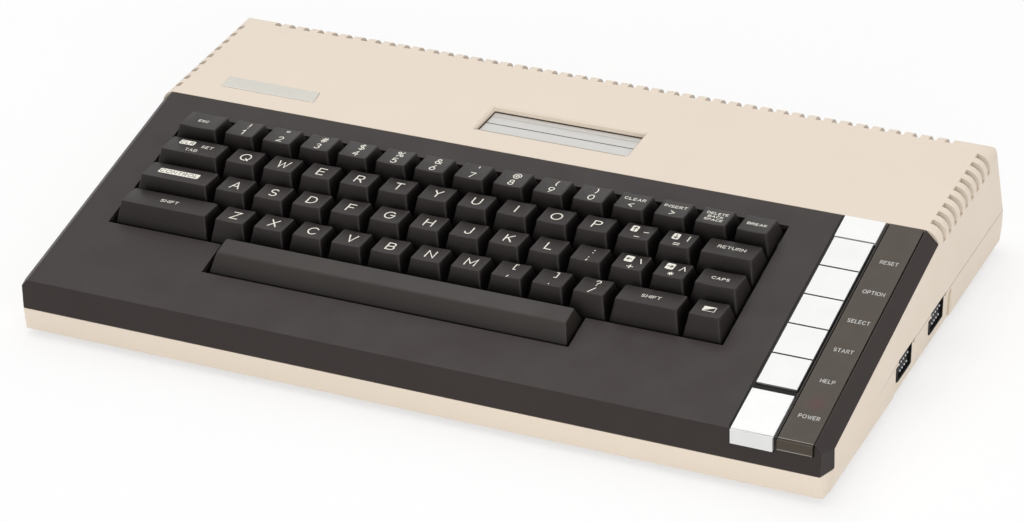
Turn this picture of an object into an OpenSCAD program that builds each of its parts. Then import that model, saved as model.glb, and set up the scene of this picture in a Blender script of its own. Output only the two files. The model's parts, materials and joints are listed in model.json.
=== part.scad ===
// Vintage home computer: a wedge-shaped case with a full travel keyboard, a column of
// console keys, a sprung cartridge door and the electronics behind them.
// X runs to the right, Y to the back, Z up. The origin is the middle of the footprint,
// on the surface that the rubber feet stand on.

/* [Case] */
// Width over the side walls
case_w = 378; // [374:1:390]
// Depth from the front seam to the rear parting edge
case_d = 232.3; // [228:0.1:240]
// Thickness of the moulded walls
wall = 2.5; // [2.2:0.1:2.8]
// Height of the seam under the front of the keyboard bezel
seam_h = 11; // [10:0.2:12]
// Height of the parting line along the rear half
part_h = 16.8; // [16:0.2:18]
// Distance from the front at which the parting line becomes level
part_run = 90; // [80:1:100]
// Gap that shows as a line between two mouldings
seam_gap = 0.3; // [0.2:0.05:0.4]
// Width of the flat facet on the front corners, across the case
corner_x = 3.1; // [2:0.1:4]
// Length of the flat facet on the front corners, along the case
corner_y = 8.5; // [7:0.1:10]
// Radius of the upright rear corners
corner_r = 3; // [2:0.5:6]
// Amount by which the bottom is narrower than the parting line, on each side
bottom_taper = 0.8; // [0:0.1:1.2]
// Amount by which the bottom is set in at the rear
rear_taper = 3.1; // [2:0.1:4]
// Chamfer along the bottom edge
bottom_edge = 1.5; // [0.5:0.1:2]

/* [Deck] */
// Height of the front edge of the sloping deck
deck_front_h = 24.7; // [24:0.1:26]
// Set-back of that edge from the front seam
deck_setback = 1.4; // [0.5:0.1:3]
// Slope of the deck in degrees
deck_tilt = 12; // [11:0.5:13]
// Length of the deck measured along its slope
deck_len = 138.3; // [137:0.1:142]
// Chamfer along both sides of the deck
edge_chamfer = 5.5; // [4.5:0.1:6.5]

/* [Rear cover] */
// Slope of the rear cover's top in degrees
top_tilt = 1.6; // [1:0.1:2.5]
// Depth of the leaning rear face, seen from above
rear_run = 13.8; // [12:0.1:16]
// Radius of the rear cover's top edges
edge_r = 6.5; // [5:0.1:8]
// Pitch of the vent slots
vent_pitch = 7.64; // [7:0.02:8.4]
// Width of one vent slot
vent_w = 3.6; // [3:0.1:4.2]
// Reach of a vent slot over the top
vent_in = 6; // [5:0.1:7]
// Reach of a vent slot down the side
vent_down = 8.8; // [7:0.1:10]
// Slots in each side row
side_vents = 9; // [5:1:9]
// Slots in the rear row
rear_vents = 45; // [31:2:45]
// Distance of the first side slot behind the deck
side_vent_start = 6; // [5:0.5:9]

/* [Cartridge slot] */
// Clear width of the cartridge well
well_w = 74.6; // [72:0.2:78]
// Clear depth of the cartridge well
well_d = 21.6; // [20.6:0.2:23]
// Distance from the deck seam to the middle of the well
well_back = 27.3; // [26:0.1:30]
// Offset of the well from the middle of the case
well_x = 0.9; // [0:0.1:3]
// Wall of the well
well_wall = 1.8; // [1.6:0.1:2.2]
// Bevel around the mouth of the well
well_bevel = 0.9; // [0.5:0.1:1.2]
// Depth of the doors below the top
door_drop = 2.8; // [2.4:0.1:3.4]
// Thickness of a door leaf
door_t = 1.1; // [0.9:0.1:1.4]
// Diameter of the door hinge pins
pin_d = 1.6; // [1.4:0.1:1.8]
// Radial clearance of a hinge pin
pin_clear = 0.1; // [0.05:0.01:0.1]
// Clearance around the door leaves
door_clear = 0.4; // [0.3:0.05:0.5]

/* [Keys] */
// Distance from the deck's left edge to the key field
keys_left = 18.6; // [17:0.1:20]
// Distance from the key field to the deck's right edge
keys_right = 57.89; // [57:0.01:59]
// Distance from the deck's front edge to the space bar's row, along the slope
keys_front = 27; // [26:0.05:28]
// Distance from the rear row of keys to the seam, along the slope
keys_back = 16.05; // [15.5:0.05:17]
// Gap between neighbouring caps at deck level
key_gap = 1.85; // [1.6:0.05:2.2]
// Height of a key top above the deck
key_rise = 8.7; // [8:0.1:9.5]
// Lean of a cap's sides and back
key_lean = 1.9; // [1.6:0.1:2.2]
// Lean of the back of a cap in the rear row
key_lean_rear = 3; // [2.6:0.1:3.2]
// Slope of the front of a cap, measured along the deck
key_front_run = 5.4; // [5:0.1:5.8]
// Wall of a cap
cap_wall = 1.3; // [1.1:0.1:1.4]
// Depth of the finger dish in a cap
dish = 0.35; // [0.2:0.05:0.5]
// Travel of a key
key_travel = 3.8; // [3:0.1:3.8]
// Diameter of a key stem
stem_d = 4; // [3.6:0.1:4.2]
// Radial clearance of a key stem in its switch
stem_clear = 0.3; // [0.2:0.05:0.35]
// Width of the space bar in key units
space_units = 9; // [8:0.5:9]
// Height of the space bar above the deck
space_rise = 7; // [6.5:0.1:8]
// Offset of the space bar from the key field's left edge
space_left = 57.2; // [56:0.1:60]

/* [Keyboard frame] */
// Depth of the switch plate below the deck
plate_drop = 7; // [6.8:0.1:8]
// Thickness of the switch plate
plate_t = 1.2; // [1:0.1:1.6]
// Reach of the plate beyond the key opening
plate_margin = 7; // [6:0.5:8]
// Thickness of the circuit boards
board_t = 1.6; // [1.4:0.1:1.8]
// Height of a switch turret above the deck
turret_rise = 0.6; // [0:0.1:0.8]

/* [Console keys] */
// Width of a console key
console_w = 17.8; // [17.4:0.1:18.4]
// Height of a console key above the deck
console_rise = 0.6; // [0.4:0.1:1]
// Travel of a console key
console_travel = 2.2; // [1.8:0.1:2.4]
// Clearance around the console keys
console_clear = 0.6; // [0.3:0.05:0.8]
// Width of the smoked label strip
strip_w = 15.8; // [15:0.1:16.2]
// Thickness of the label strip and the bare plates
strip_t = 1.5; // [1.2:0.1:1.6]
// Reach of the front plate down the front face
plate_lip = 6.2; // [5:0.1:6.4]
// Reach of the strip down the front face
strip_lip = 4.7; // [4:0.1:6]
// Diameter of the power lamp
lamp_d = 5; // [4:0.1:5.2]

/* [Electronics] */
// Height of the main board's underside above the case bottom
board_h = 6; // [5.6:0.1:6.6]
// Distance from the left side of the case to the main board
board_left = 27; // [26:0.5:30]
// Distance from the main board to the right side of the case
board_right = 19; // [18:0.5:22]
// Distance from the front to the main board
board_front = 60; // [56:1:62]
// Thickness of the metal shields
shield_t = 0.8; // [0.6:0.1:1]
// Height of the upper shield above the main board
shield_rise = 15; // [13:0.5:16]
// Height of the connectors' middle above the case bottom
socket_h = 11.4; // [11:0.1:12]
// Distance from the front to the middle of the front controller port
port_y = 97.4; // [96:0.2:99]
// Spacing of the two controller ports
port_pitch = 42; // [40:0.5:44]
// Width of a controller port opening
port_w = 20.5; // [20:0.1:21.5]
// Height of a controller port opening
port_h = 12.2; // [12:0.1:13]

/* [Feet and screws] */
// Height of the rubber feet
foot_h = 3; // [2.5:0.1:4]
// Diameter of the rubber feet
foot_d = 14; // [12:0.5:16]
// Diameter of the case screws
screw_d = 3; // [2.6:0.1:3.4]
// Outer diameter of the screw bosses
boss_d = 9; // [8:0.1:10]

/* [Hidden] */

$fn = 48;
skin = 0.01;
half = case_w / 2;
deck_half = half - edge_chamfer;
seam_y = deck_setback + deck_len * cos(deck_tilt);
seam_z = deck_front_h + deck_len * sin(deck_tilt);

// Corner where the top plane and the leaning rear face would meet
rear_top_y = case_d - rear_run;
rear_top_z = seam_z + (rear_top_y - seam_y) * tan(top_tilt);
rear_lean = atan(rear_run / (rear_top_z - part_h));
top_normal = [sin(top_tilt), -cos(top_tilt)];
rear_normal = [-cos(rear_lean), -sin(rear_lean)];
edge_centre = [rear_top_y, rear_top_z]
    + edge_r * (top_normal + rear_normal) / (1 + top_normal * rear_normal);

// Key field, in deck coordinates
keys_x = keys_left - deck_half;
row_units = 15.25;
keys_w = 2 * deck_half - keys_left - keys_right;
key_pitch = keys_w / row_units;
key_rows = 5;
row_pitch = (deck_len - keys_front - keys_back) / key_rows;
letters_y0 = keys_front + row_pitch;
open_left = 2.5;
open_right = 0.5;
open_back = 2.8;
open_front = 0.3;
open_x0 = keys_x - open_left;
open_x1 = keys_x + keys_w + open_right;
open_y0 = letters_y0 - open_front;
open_y1 = deck_len - keys_back + open_back;
space_x = keys_x + space_left + space_units * key_pitch / 2;
space_half = space_units * key_pitch / 2;
space_y = keys_front + row_pitch / 2;
notch_y0 = keys_front - open_front;
cap_skirt = 1.5;
cap_margin = key_gap / 2;
skirt_extra = 0.2;
stem_drop = 2.8;
top_wall = 1.5;
dish_r = 60;
space_round = 2.2;
space_stem_spread = 0.36;

// One row per key that moves by itself: name, row from the back, first unit, width in units
KEYS = [["key_escape", 1, 0, 1.25], ["key_clear", 1, 11.25, 1], ["key_insert", 1, 12.25, 1],
        ["key_delete", 1, 13.25, 1], ["key_break", 1, 14.25, 1],
        ["key_tab", 2, 0, 1.75], ["key_minus", 2, 11.75, 1], ["key_equals", 2, 12.75, 1],
        ["key_return", 2, 13.75, 1.5],
        ["key_control", 3, 0, 2], ["key_plus", 3, 12, 1], ["key_asterisk", 3, 13, 1],
        ["key_caps", 3, 14, 1.25],
        ["key_shift_left", 4, 0, 2.5], ["key_shift_right", 4, 12.5, 1.75],
        ["key_inverse", 4, 14.25, 1]];
// First unit of the ten plain keys in each row
PLAIN_START = [1.25, 1.75, 2, 2.5];
plain_count = 10;

// Switch plate and keyboard circuit
plate_x0 = open_x0 - plate_margin;
plate_x1 = open_x1 + plate_margin;
plate_y0 = notch_y0 - plate_margin;
plate_y1 = open_y1 + plate_margin;
peg_d = 5;
peg_inset = 3.5;
turret_w = 6;
switch_w = 12.6;
switch_body = 3.4;

// Console column, in deck coordinates
strip_x1 = deck_half - 0.7;
strip_x0 = strip_x1 - strip_w;
rib_w = 0.9;
strip_gap = 0.3;
console_x1 = strip_x0 - rib_w;
console_x0 = console_x1 - console_w - 2 * console_clear;
console_x = (console_x0 + console_x1) / 2;
console_first = keys_front + 1;
console_gap = 0.6;
console_deep = 5;
strip_end = deck_len - seam_gap - strip_t * tan(deck_tilt);
CONSOLE = ["console_help", "console_start", "console_select", "console_option", "console_reset"];
console_end = console_first + len(CONSOLE) * row_pitch;
console_board_drop = 10;
lamp_y = console_first - 2.8;
lamp_x = (strip_x0 + strip_x1) / 2;
plate_y_gap = 0.5;
front_plate_y1 = console_first - 3.5;

// Cartridge well
well_y = seam_y + well_back;
well_z = seam_z + well_back * tan(top_tilt);
well_low = 38;
knuckle_r = pin_d / 2 + pin_clear + 0.8;
hinge_in = knuckle_r + door_clear;
hinge_drop = door_drop + knuckle_r;
pin_seat = 1.2;
leaf_w = well_w - 2 * door_clear;
leaf_d = well_d / 2 - hinge_in - 0.2;
knuckle_len = 9;
KNUCKLES = [-0.42, 0, 0.42];
SPRINGS = [-0.22, 0.22];
spring_wire = 0.3;
spring_turns = 6;

// Bosses for the screws that go in from below
screw_in = 12;
screw_back = 20;
SCREWS = [[-half + screw_in, 14], [half - 57, 14], [-half + screw_in - 1, seam_y + 9.3],
          [half - screw_in, seam_y + 39.3], [-half + screw_in, case_d - screw_back],
          [half - screw_in, case_d - screw_back]];
foot_in = 26;
FEET = [[-half + foot_in, 22], [half - foot_in, 22],
        [-half + foot_in, case_d - foot_in], [half - foot_in, case_d - foot_in]];
foot_sink = 0.8;
rib_t = 1.6;
screw_head_d = 6;
screw_head_h = 2;
thread_len = 7;

// Main board and what stands on it
board_back = case_d - 9.4;
board_top = board_h + board_t;
board_x0 = -half + board_left;
board_x1 = half - board_right;
board_w = board_x1 - board_x0;
board_d = board_back - board_front;
post_in = 5;
post_back = board_back - 22;
POSTS = [[board_x0 + post_in, board_front + post_in], [board_x1 - post_in, board_front + post_in],
         [board_x0 + post_in, board_y(0.49)], [board_x1 - post_in, board_y(0.36)],
         [board_x0 + post_in, post_back], [board_x1 - post_in, post_back]];
// Places on the main board, as shares of its width and its depth
function board_x(share) = board_x0 + share * board_w;
function board_y(share) = board_front + share * board_d;
post_d = 7;
shield_x = board_w / 2 - 16;
shield_mid = (board_x0 + board_x1) / 2;
shield_y0 = board_front + 12;
shield_y1 = board_back - 26;
shield_d = shield_y1 - shield_y0;
window_w = well_w + 6;
window_y0 = well_y - 14;
window_y1 = well_y + 14;

// Rear connectors, placed by shares of the case's width
peripheral_x = 0.3704 * case_w;
bus_x = 0.164 * case_w;
bus_w = 62;
video_x = -0.0265 * case_w;
slider_x = -0.1058 * case_w;
rf_x = -0.18 * case_w;
switch_x = -0.2963 * case_w;
power_x = -0.3968 * case_w;
din_d = 16;
socket_face = case_d - 6;
rf_d = 9.4;
aerial_in = 2;
rocker_w = 18;
rocker_h = 9;
rocker_swing = 14;
rocker_pin = 2;
rocker_in = 8;
frame_t = 0.9;
switch_h = board_top + rocker_h / 2 + frame_t + 0.3;
slide_travel = 4;

// Controller ports
port_face = half - 8;
panel_in = 1.1;

// Colours
cream = "#e9decd";
dark = "#4a4745";
cap_colour = "#3a3938";

// ---- Frames of reference -------------------------------------------------------------

// Moves a piece from case coordinates to the part's own origin
module place() {
    translate([0, -case_d / 2, foot_h]) children();
}

// Deck coordinates: X across, Y up the slope from the deck's front edge, Z out of the deck
module on_deck() {
    translate([0, deck_setback, deck_front_h]) rotate([deck_tilt, 0, 0]) children();
}

// Coordinates on the rear cover's top plane, from the seam backwards
module on_top() {
    translate([0, seam_y, seam_z]) rotate([top_tilt, 0, 0]) children();
}

// Extrudes a profile drawn in depth and height across the case, centred on X
module across(w) {
    rotate([90, 0, 90]) linear_extrude(w, center = true) children();
}

// Extrudes a profile drawn in width and height from depth y0 to depth y1
module backwards(y0, y1) {
    translate([0, y1, 0]) rotate([90, 0, 0]) linear_extrude(y1 - y0) children();
}

// A block given by its two corners
module block(a, b) {
    translate(a) cube(b - a);
}

// ---- Outlines of the closed case, set in by g -------------------------------------------

module side_outline(g) {
    polygon([[g, seam_h], [bottom_edge + g, g], [case_d - rear_taper - bottom_edge - g, g],
             [case_d - rear_taper - g, bottom_edge + g], [case_d - g, part_h],
             edge_centre - (edge_r - g) * rear_normal, edge_centre - (edge_r - g) * top_normal,
             [seam_y, seam_z - g / cos(top_tilt)],
             [deck_setback + g, deck_front_h + g * tan(deck_tilt) - g / cos(deck_tilt)]]);
    translate(edge_centre) circle(edge_r - g);
}

module plan_outline(g) {
    polygon([[corner_x - half + g / 2, g], [half - corner_x - g / 2, g], [half - g, corner_y + g / 2],
             [half - g, case_d - corner_r], [half - corner_r, case_d - g],
             [corner_r - half, case_d - g], [g - half, case_d - corner_r], [g - half, corner_y + g / 2]]);
    for (side = [-1, 1]) translate([side * (half - corner_r), case_d - corner_r]) circle(corner_r - g);
}

module deck_section(g) {
    bevel = g * tan(22.5);
    polygon([[g - half, -60], [g - half, -edge_chamfer - bevel], [bevel - deck_half, -g],
             [deck_half - bevel, -g], [half - g, -edge_chamfer - bevel], [half - g, -60]]);
}

module top_section(g) {
    polygon([[g - half, -60], [g - half, -edge_r], [edge_r - half, -g], [half - edge_r, -g],
             [half - g, -edge_r], [half - g, -60]]);
    for (side = [-1, 1]) translate([side * (half - edge_r), -edge_r]) circle(edge_r - g);
}

module tray_section(g) {
    low = half - bottom_taper - g;
    polygon([[-low + bottom_edge, g], [low - bottom_edge, g], [low, bottom_edge + g], [half - g, part_h],
             [half - g, 60], [g - half, 60], [g - half, part_h], [-low, bottom_edge + g]]);
}

// The parting line between the bottom case and the mouldings above it, lowered by g
module under_parting(g) {
    polygon([[-10, -10], [-10, seam_h - g], [corner_y, seam_h - g], [part_run, part_h - g],
             [case_d + 10, part_h - g], [case_d + 10, -10]]);
}

// Solid of the front wedge, set in by g
module front_body(g) {
    intersection() {
        across(case_w + 20) side_outline(g);
        on_deck() backwards(-20, deck_len + 20) deck_section(g);
        linear_extrude(100) plan_outline(g);
    }
}

// Solid of the rear cover, set in by g
module rear_body(g) {
    intersection() {
        across(case_w + 20) side_outline(g);
        on_top() backwards(-20, case_d) top_section(g);
        translate([0, case_d, part_h]) rotate([rear_lean, 0, 0]) translate([0, -case_d, -60])
            linear_extrude(140) plan_outline(g);
    }
}

// Solid of the bottom tray, set in by g
module tray_body(g) {
    intersection() {
        across(case_w + 20) side_outline(g);
        backwards(-20, case_d + 20) tray_section(g);
        linear_extrude(100) plan_outline(g);
    }
}

// ---- Openings in the case -----------------------------------------------------------------

// D-shaped outline of a plug opening
module d_outline(w, h) {
    slant = h * 0.1;
    polygon([[-w / 2 + slant, -h / 2], [w / 2 - slant, -h / 2], [w / 2, h / 2], [-w / 2, h / 2]]);
}

module port_openings(grow) {
    for (i = [0, 1]) translate([half - 20, port_y + i * port_pitch, socket_h])
        rotate([90, 0, 90]) linear_extrude(30) d_outline(port_w + 2 * grow, port_h + 2 * grow);
}

module rear_openings() {
    y = case_d - 20;
    translate([peripheral_x, y, socket_h]) rotate([-90, 0, 0]) linear_extrude(40) d_outline(34, 12);
    block([bus_x - bus_w / 2, y, board_h - 1.5], [bus_x + bus_w / 2, y + 40, board_h + 8.5]);
    for (x = [video_x, power_x]) translate([x, y, socket_h]) rotate([-90, 0, 0]) cylinder(d = din_d, h = 40);
    translate([rf_x, y, socket_h]) rotate([-90, 0, 0]) cylinder(d = rf_d + 1, h = 40);
    block([slider_x - 5.5, y, socket_h - 2.5], [slider_x + 5.5, y + 40, socket_h + 2.5]);
    block([switch_x - rocker_w / 2 - frame_t - 0.2, y, switch_h - rocker_h / 2 - frame_t - 0.2],
          [switch_x + rocker_w / 2 + frame_t + 0.2, y + 40, switch_h + rocker_h / 2 + frame_t + 0.2]);
}

// ---- Bottom case --------------------------------------------------------------------------

module bottom_case() {
    color(cream) place() {
        difference() {
            intersection() {
                tray_body(0);
                across(case_w + 20) under_parting(0);
            }
            difference() {
                tray_body(wall);
                for (s = SCREWS) translate([s.x, s.y, 0]) cylinder(d = boss_d, h = boss_top(s));
                for (p = POSTS) translate([p.x, p.y, 0]) cylinder(d = post_d, h = board_h);
                floor_ribs();
            }
            for (s = SCREWS) translate([s.x, s.y, -1]) {
                cylinder(d = screw_d + 0.6, h = 40);
                cylinder(d = screw_head_d + 1, h = boss_top(s) - wall);
            }
            for (p = POSTS) translate([p.x, p.y, wall]) cylinder(d = 2.4, h = board_h);
            for (f = FEET) translate([f.x, f.y, -1]) cylinder(d = foot_d + 0.4, h = 1 + foot_sink);
            port_openings(0);
            port_panel();
            rear_openings();
            floor_vents();
        }
    }
}

// Height of a boss in the bottom case: level with the parting line, less a gap
function boss_top(s) = (s.y < part_run ? seam_h + (part_h - seam_h) * (s.y - corner_y) / (part_run - corner_y)
                                       : part_h) - 1.5;

// The controller ports sit in a panel that is set back a little, ending in an upright step
module port_panel() {
    inner = half - panel_in;
    backwards(port_y - 14, port_y + port_pitch + 18)
        polygon([[inner - bottom_taper, -1], [inner, part_h - 1.5], [half + 5, part_h - 1.5], [half + 5, -1]]);
}

module floor_ribs() {
    for (x = [-half / 2, half / 2 - 30])
        block([x, 8, wall - skin], [x + rib_t, board_front - 8, wall + 5]);
    block([-half + 30, board_front - 14, wall - skin], [half - 60, board_front - 14 + rib_t, wall + 4]);
}

module floor_vents() {
    for (i = [-7:7], share = [0.36, 0.65]) translate([i * 9, share * case_d, -1])
        cube([3, 26, 20], center = true);
}

// ---- Rear cover -----------------------------------------------------------------------------

module top_case() {
    color(cream) place() {
        difference() {
            union() {
                difference() {
                    union() {
                        rear_shell();
                        side_cheeks();
                    }
                    port_openings(0);
                    rear_openings();
                    vent_cutters();
                }
                well_walls();
                for (i = [2:5]) top_boss(SCREWS[i]);
            }
            well_mouth();
            for (i = [2:5]) translate([SCREWS[i].x, SCREWS[i].y, 0])
                cylinder(d = screw_d, h = boss_top(SCREWS[i]) + seam_gap + thread_len);
            badge_pocket();
        }
    }
}

module rear_shell() {
    difference() {
        intersection() {
            rear_body(0);
            block([-half - 5, seam_y, 0], [half + 5, case_d + 5, 90]);
        }
        rear_body(wall);
        across(case_w + 20) under_parting(-seam_gap);
    }
    // Wall behind the deck seam that stiffens the front edge of the cover
    intersection() {
        rear_body(0);
        block([wall - half, seam_y, seam_z - 7], [half - wall, seam_y + 1.8, 90]);
    }
}

module side_cheeks() {
    difference() {
        intersection() {
            front_body(0);
            union() for (side = [-1, 1]) translate([side * half, 0, 0])
                block([-wall - 2, corner_y + seam_gap, 0], [wall + 2, seam_y + 1, 90]);
            on_deck() block([-half - 5, -20, -90], [half + 5, deck_len + 10, -edge_chamfer - seam_gap]);
        }
        front_body(wall);
        across(case_w + 20) under_parting(-seam_gap);
    }
}

module top_boss(s) {
    intersection() {
        translate([s.x, s.y, boss_top(s) + seam_gap]) cylinder(d = boss_d - 1, h = 60);
        union() {
            rear_body(wall - skin);
            if (s.y < seam_y) front_body(wall - skin);
        }
    }
}

// Open slots through the rounded top edge, along both sides and along the rear
module vent_cutters() {
    for (side = [0, 1], i = [0:side_vents - 1]) mirror([side, 0, 0])
        on_top() backwards(side_vent_start + i * vent_pitch, side_vent_start + i * vent_pitch + vent_w)
            polygon([[half - vent_in, -2 * wall], [half - vent_in, wall], [half + wall, wall],
                     [half + wall, -vent_down], [half - 2 * wall, -vent_down]]);
    for (i = [0:rear_vents - 1])
        translate([(i - (rear_vents - 1) / 2) * vent_pitch, 0, 0]) across(vent_w) rear_vent_profile();
}

module rear_vent_profile() {
    a = [rear_top_y - vent_in, rear_top_z - vent_in * tan(top_tilt)];
    b = [rear_top_y + vent_down * tan(rear_lean), rear_top_z - vent_down];
    out = b.x + 2 * wall;
    polygon([a + [0, wall], [out, a.y + wall], [out, b.y], b - [2 * wall, 0], a - [0, 2 * wall]]);
}

// Walls that line the cartridge well
module well_walls() {
    difference() {
        intersection() {
            block([well_x - well_w / 2 - well_wall, well_y - well_d / 2 - well_wall, well_low],
                  [well_x + well_w / 2 + well_wall, well_y + well_d / 2 + well_wall, 90]);
            rear_body(skin);
        }
        for (side = [-1, 1]) hinge_line(side) cylinder(d = pin_d, h = well_w + 2 * pin_seat, center = true);
    }
}

// Opening of the well with its bevelled mouth
module well_mouth() {
    block([well_x - well_w / 2, well_y - well_d / 2, 0], [well_x + well_w / 2, well_y + well_d / 2, 90]);
    translate([well_x, well_y, well_z]) rotate([top_tilt, 0, 0]) intersection() {
        across(well_w + 4 * well_wall) bevel_outline(well_d / 2);
        backwards(-well_d, well_d) bevel_outline(well_w / 2);
    }
}

module bevel_outline(half_width) {
    polygon([[-half_width - well_bevel - 1, 1], [half_width + well_bevel + 1, 1],
             [half_width, -well_bevel], [-half_width, -well_bevel]]);
}

module badge_pocket() {
    on_top() badge_outline(0.1, -0.3, 5);
}

// Axis of the hinge on the front (-1) or rear (1) edge of the well
module hinge_line(side) {
    translate([well_x, well_y + side * (well_d / 2 - hinge_in), well_z - hinge_drop])
        rotate([0, 90, 0]) children();
}

// ---- Badge ------------------------------------------------------------------------------------

badge_x0 = -deck_half + 18.5;
badge_w = 48.4;
badge_y0 = 12.6;
badge_d = 9.4;
badge_slant = 1.2;

module badge_outline(g, z0, z1) {
    translate([badge_x0, badge_y0, z0]) linear_extrude(z1 - z0)
        polygon([[-g, -g], [badge_w + g, -g], [badge_w - badge_slant + g, badge_d + g], [-g, badge_d + g]]);
}

module badge_plate() {
    color("#c9c9c6") place() on_top() badge_outline(0, -0.3, 0.3);
}

// ---- Keyboard bezel -----------------------------------------------------------------------------

module keyboard_bezel() {
    color(dark) place() {
        difference() {
            union() {
                difference() {
                    intersection() {
                        front_body(0);
                        union() {
                            intersection() {
                                on_deck() block([-half - 5, -10, -edge_chamfer], [half + 5, deck_len + 5, 5]);
                                block([-half - 5, -5, 0], [half + 5, seam_y - seam_gap, 90]);
                            }
                            block([-half - 5, -5, seam_h + seam_gap], [half + 5, corner_y, 60]);
                        }
                    }
                    front_body(wall);
                }
                on_deck() bezel_pegs();
                front_bosses();
            }
            on_deck() {
                key_opening();
                console_openings();
            }
            for (i = [0, 1]) translate([SCREWS[i].x, SCREWS[i].y, 0])
                cylinder(d = screw_d, h = boss_top(SCREWS[i]) + seam_gap + thread_len);
        }
    }
}

module key_opening() {
    block([open_x0, open_y0, -20], [open_x1, open_y1, 5]);
    block([space_x - space_half - open_left, notch_y0, -20],
          [space_x + space_half + open_right, open_y0 + 1, 5]);
}

module console_openings() {
    // Slot for the five keys, pockets for the bare plates and the strip
    block([console_x0, console_first - console_gap, -20], [console_x1, console_end + console_gap, 5]);
    block([console_x0, -5, console_rise - strip_t], [console_x1, front_plate_y1 + plate_y_gap, 5]);
    block([console_x0, console_end, console_rise - strip_t], [console_x1, deck_len + 5, 5]);
    block([strip_x0 - strip_gap, -5, -strip_t], [strip_x1 + strip_gap, deck_len + 5, 5]);
    translate([lamp_x, lamp_y, -20]) cylinder(d = lamp_d + 0.6, h = 20);
    front_notch(console_x0, console_x1, plate_lip);
    front_notch(strip_x0 - strip_gap, strip_x1 + strip_gap, strip_lip);
}

// Notch in the front face for a lip that hangs over it
module front_notch(x0, x1, lip) {
    rotate([-deck_tilt, 0, 0]) block([x0, -deck_setback - 5, -lip - 0.3],
                                     [x1, strip_t - deck_setback + strip_gap, 5]);
}

// Pegs under the bezel that carry the switch plate and the console board
module bezel_pegs() {
    for (x = [plate_x0 + peg_inset, plate_x1 - peg_inset], y = [open_y0 + 6, open_y1 - 6])
        peg(x, y, plate_drop);
    for (x = [space_x - space_half + 20, space_x + space_half - 20]) peg(x, plate_y0 + peg_inset, plate_drop);
    for (y = [12, console_end + 6]) peg(lamp_x, y, console_board_drop);
}

module peg(x, y, drop) {
    translate([x, y, -drop]) cylinder(d = peg_d, h = drop - wall / 2 - strip_t / 2);
}

module front_bosses() {
    for (i = [0, 1]) intersection() {
        translate([SCREWS[i].x, SCREWS[i].y, boss_top(SCREWS[i]) + seam_gap])
            cylinder(d = boss_d - 1, h = 60);
        front_body(wall - skin);
    }
}

// ---- Console column --------------------------------------------------------------------------------

module label_strip() {
    color("#5a5852", 0.8) place() on_deck() {
        block([strip_x0, 0, -strip_t], [strip_x1, strip_end, 0.3]);
        rotate([-deck_tilt, 0, 0]) block([strip_x0, -deck_setback, -strip_lip],
                                         [strip_x1, strip_t - deck_setback, 0]);
    }
}

module console_plates() {
    color("#d6d6d4") place() on_deck() {
        block([console_x0 + 0.3, console_end + plate_y_gap, console_rise - strip_t],
              [console_x1 - 0.3, strip_end, console_rise]);
        block([console_x0 + 0.3, 0, console_rise - strip_t],
              [console_x1 - 0.3, front_plate_y1, console_rise]);
        rotate([-deck_tilt, 0, 0]) block([console_x0 + 0.3, -deck_setback, -plate_lip],
                                         [console_x1 - 0.3, strip_t - deck_setback, console_rise - 0.3]);
    }
}

module console_cap(i) {
    color("#d6d6d4") place() on_deck() translate([console_x, console_first + (i + 0.5) * row_pitch, 0]) {
        w = console_w / 2;
        d = row_pitch / 2 - console_clear / 2;
        difference() {
            block([-w, -d, -console_deep], [w, d, console_rise]);
            block([cap_wall - w, cap_wall - d, -console_deep - 1],
                  [w - cap_wall, d - cap_wall, console_rise - top_wall]);
        }
        translate([0, 0, -stem_drop - console_deep])
            cylinder(d = stem_d, h = stem_drop + console_deep - skin);
    }
}

module console_help() { console_cap(0); }
module console_start() { console_cap(1); }
module console_select() { console_cap(2); }
module console_option() { console_cap(3); }
module console_reset() { console_cap(4); }

// Board under the console keys with one push switch for each
module console_switches() {
    color("#3f6b45") place() on_deck() {
        difference() {
            block([console_x0 - 3, 6, -console_board_drop - board_t],
                  [strip_x1 - 2, console_end + 12, -console_board_drop]);
            for (i = [0:len(CONSOLE) - 1]) console_bore(i);
        }
        difference() {
            for (i = [0:len(CONSOLE) - 1]) translate([console_x, console_first + (i + 0.5) * row_pitch, 0])
                block([-4.5, -4.5, -console_board_drop], [4.5, 4.5, -console_deep - console_travel + 1.5]);
            for (i = [0:len(CONSOLE) - 1]) console_bore(i);
        }
    }
}

module console_bore(i) {
    translate([console_x, console_first + (i + 0.5) * row_pitch, -20])
        cylinder(d = stem_d + 2 * stem_clear, h = 20);
}

module power_lamp() {
    color("#8a2a25") place() on_deck() translate([lamp_x, lamp_y, 0]) {
        translate([0, 0, -console_board_drop]) cylinder(d = lamp_d + 1, h = 1);
        dome = strip_t + lamp_d / 2 + 0.1;
        translate([0, 0, -console_board_drop]) cylinder(d = lamp_d, h = console_board_drop - dome);
        translate([0, 0, -dome]) intersection() {
            sphere(d = lamp_d);
            cylinder(d = lamp_d + 1, h = lamp_d);
        }
    }
}

// ---- Keys ----------------------------------------------------------------------------------------------

// Middle of a row of keys, counted from the back
function row_y(row) = letters_y0 + (key_rows - 0.5 - row) * row_pitch;
function key_centre(row, start, units) = [keys_x + (start + units / 2) * key_pitch, row_y(row), 0];
function back_lean(row) = row == 1 ? key_lean_rear : key_lean;

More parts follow.
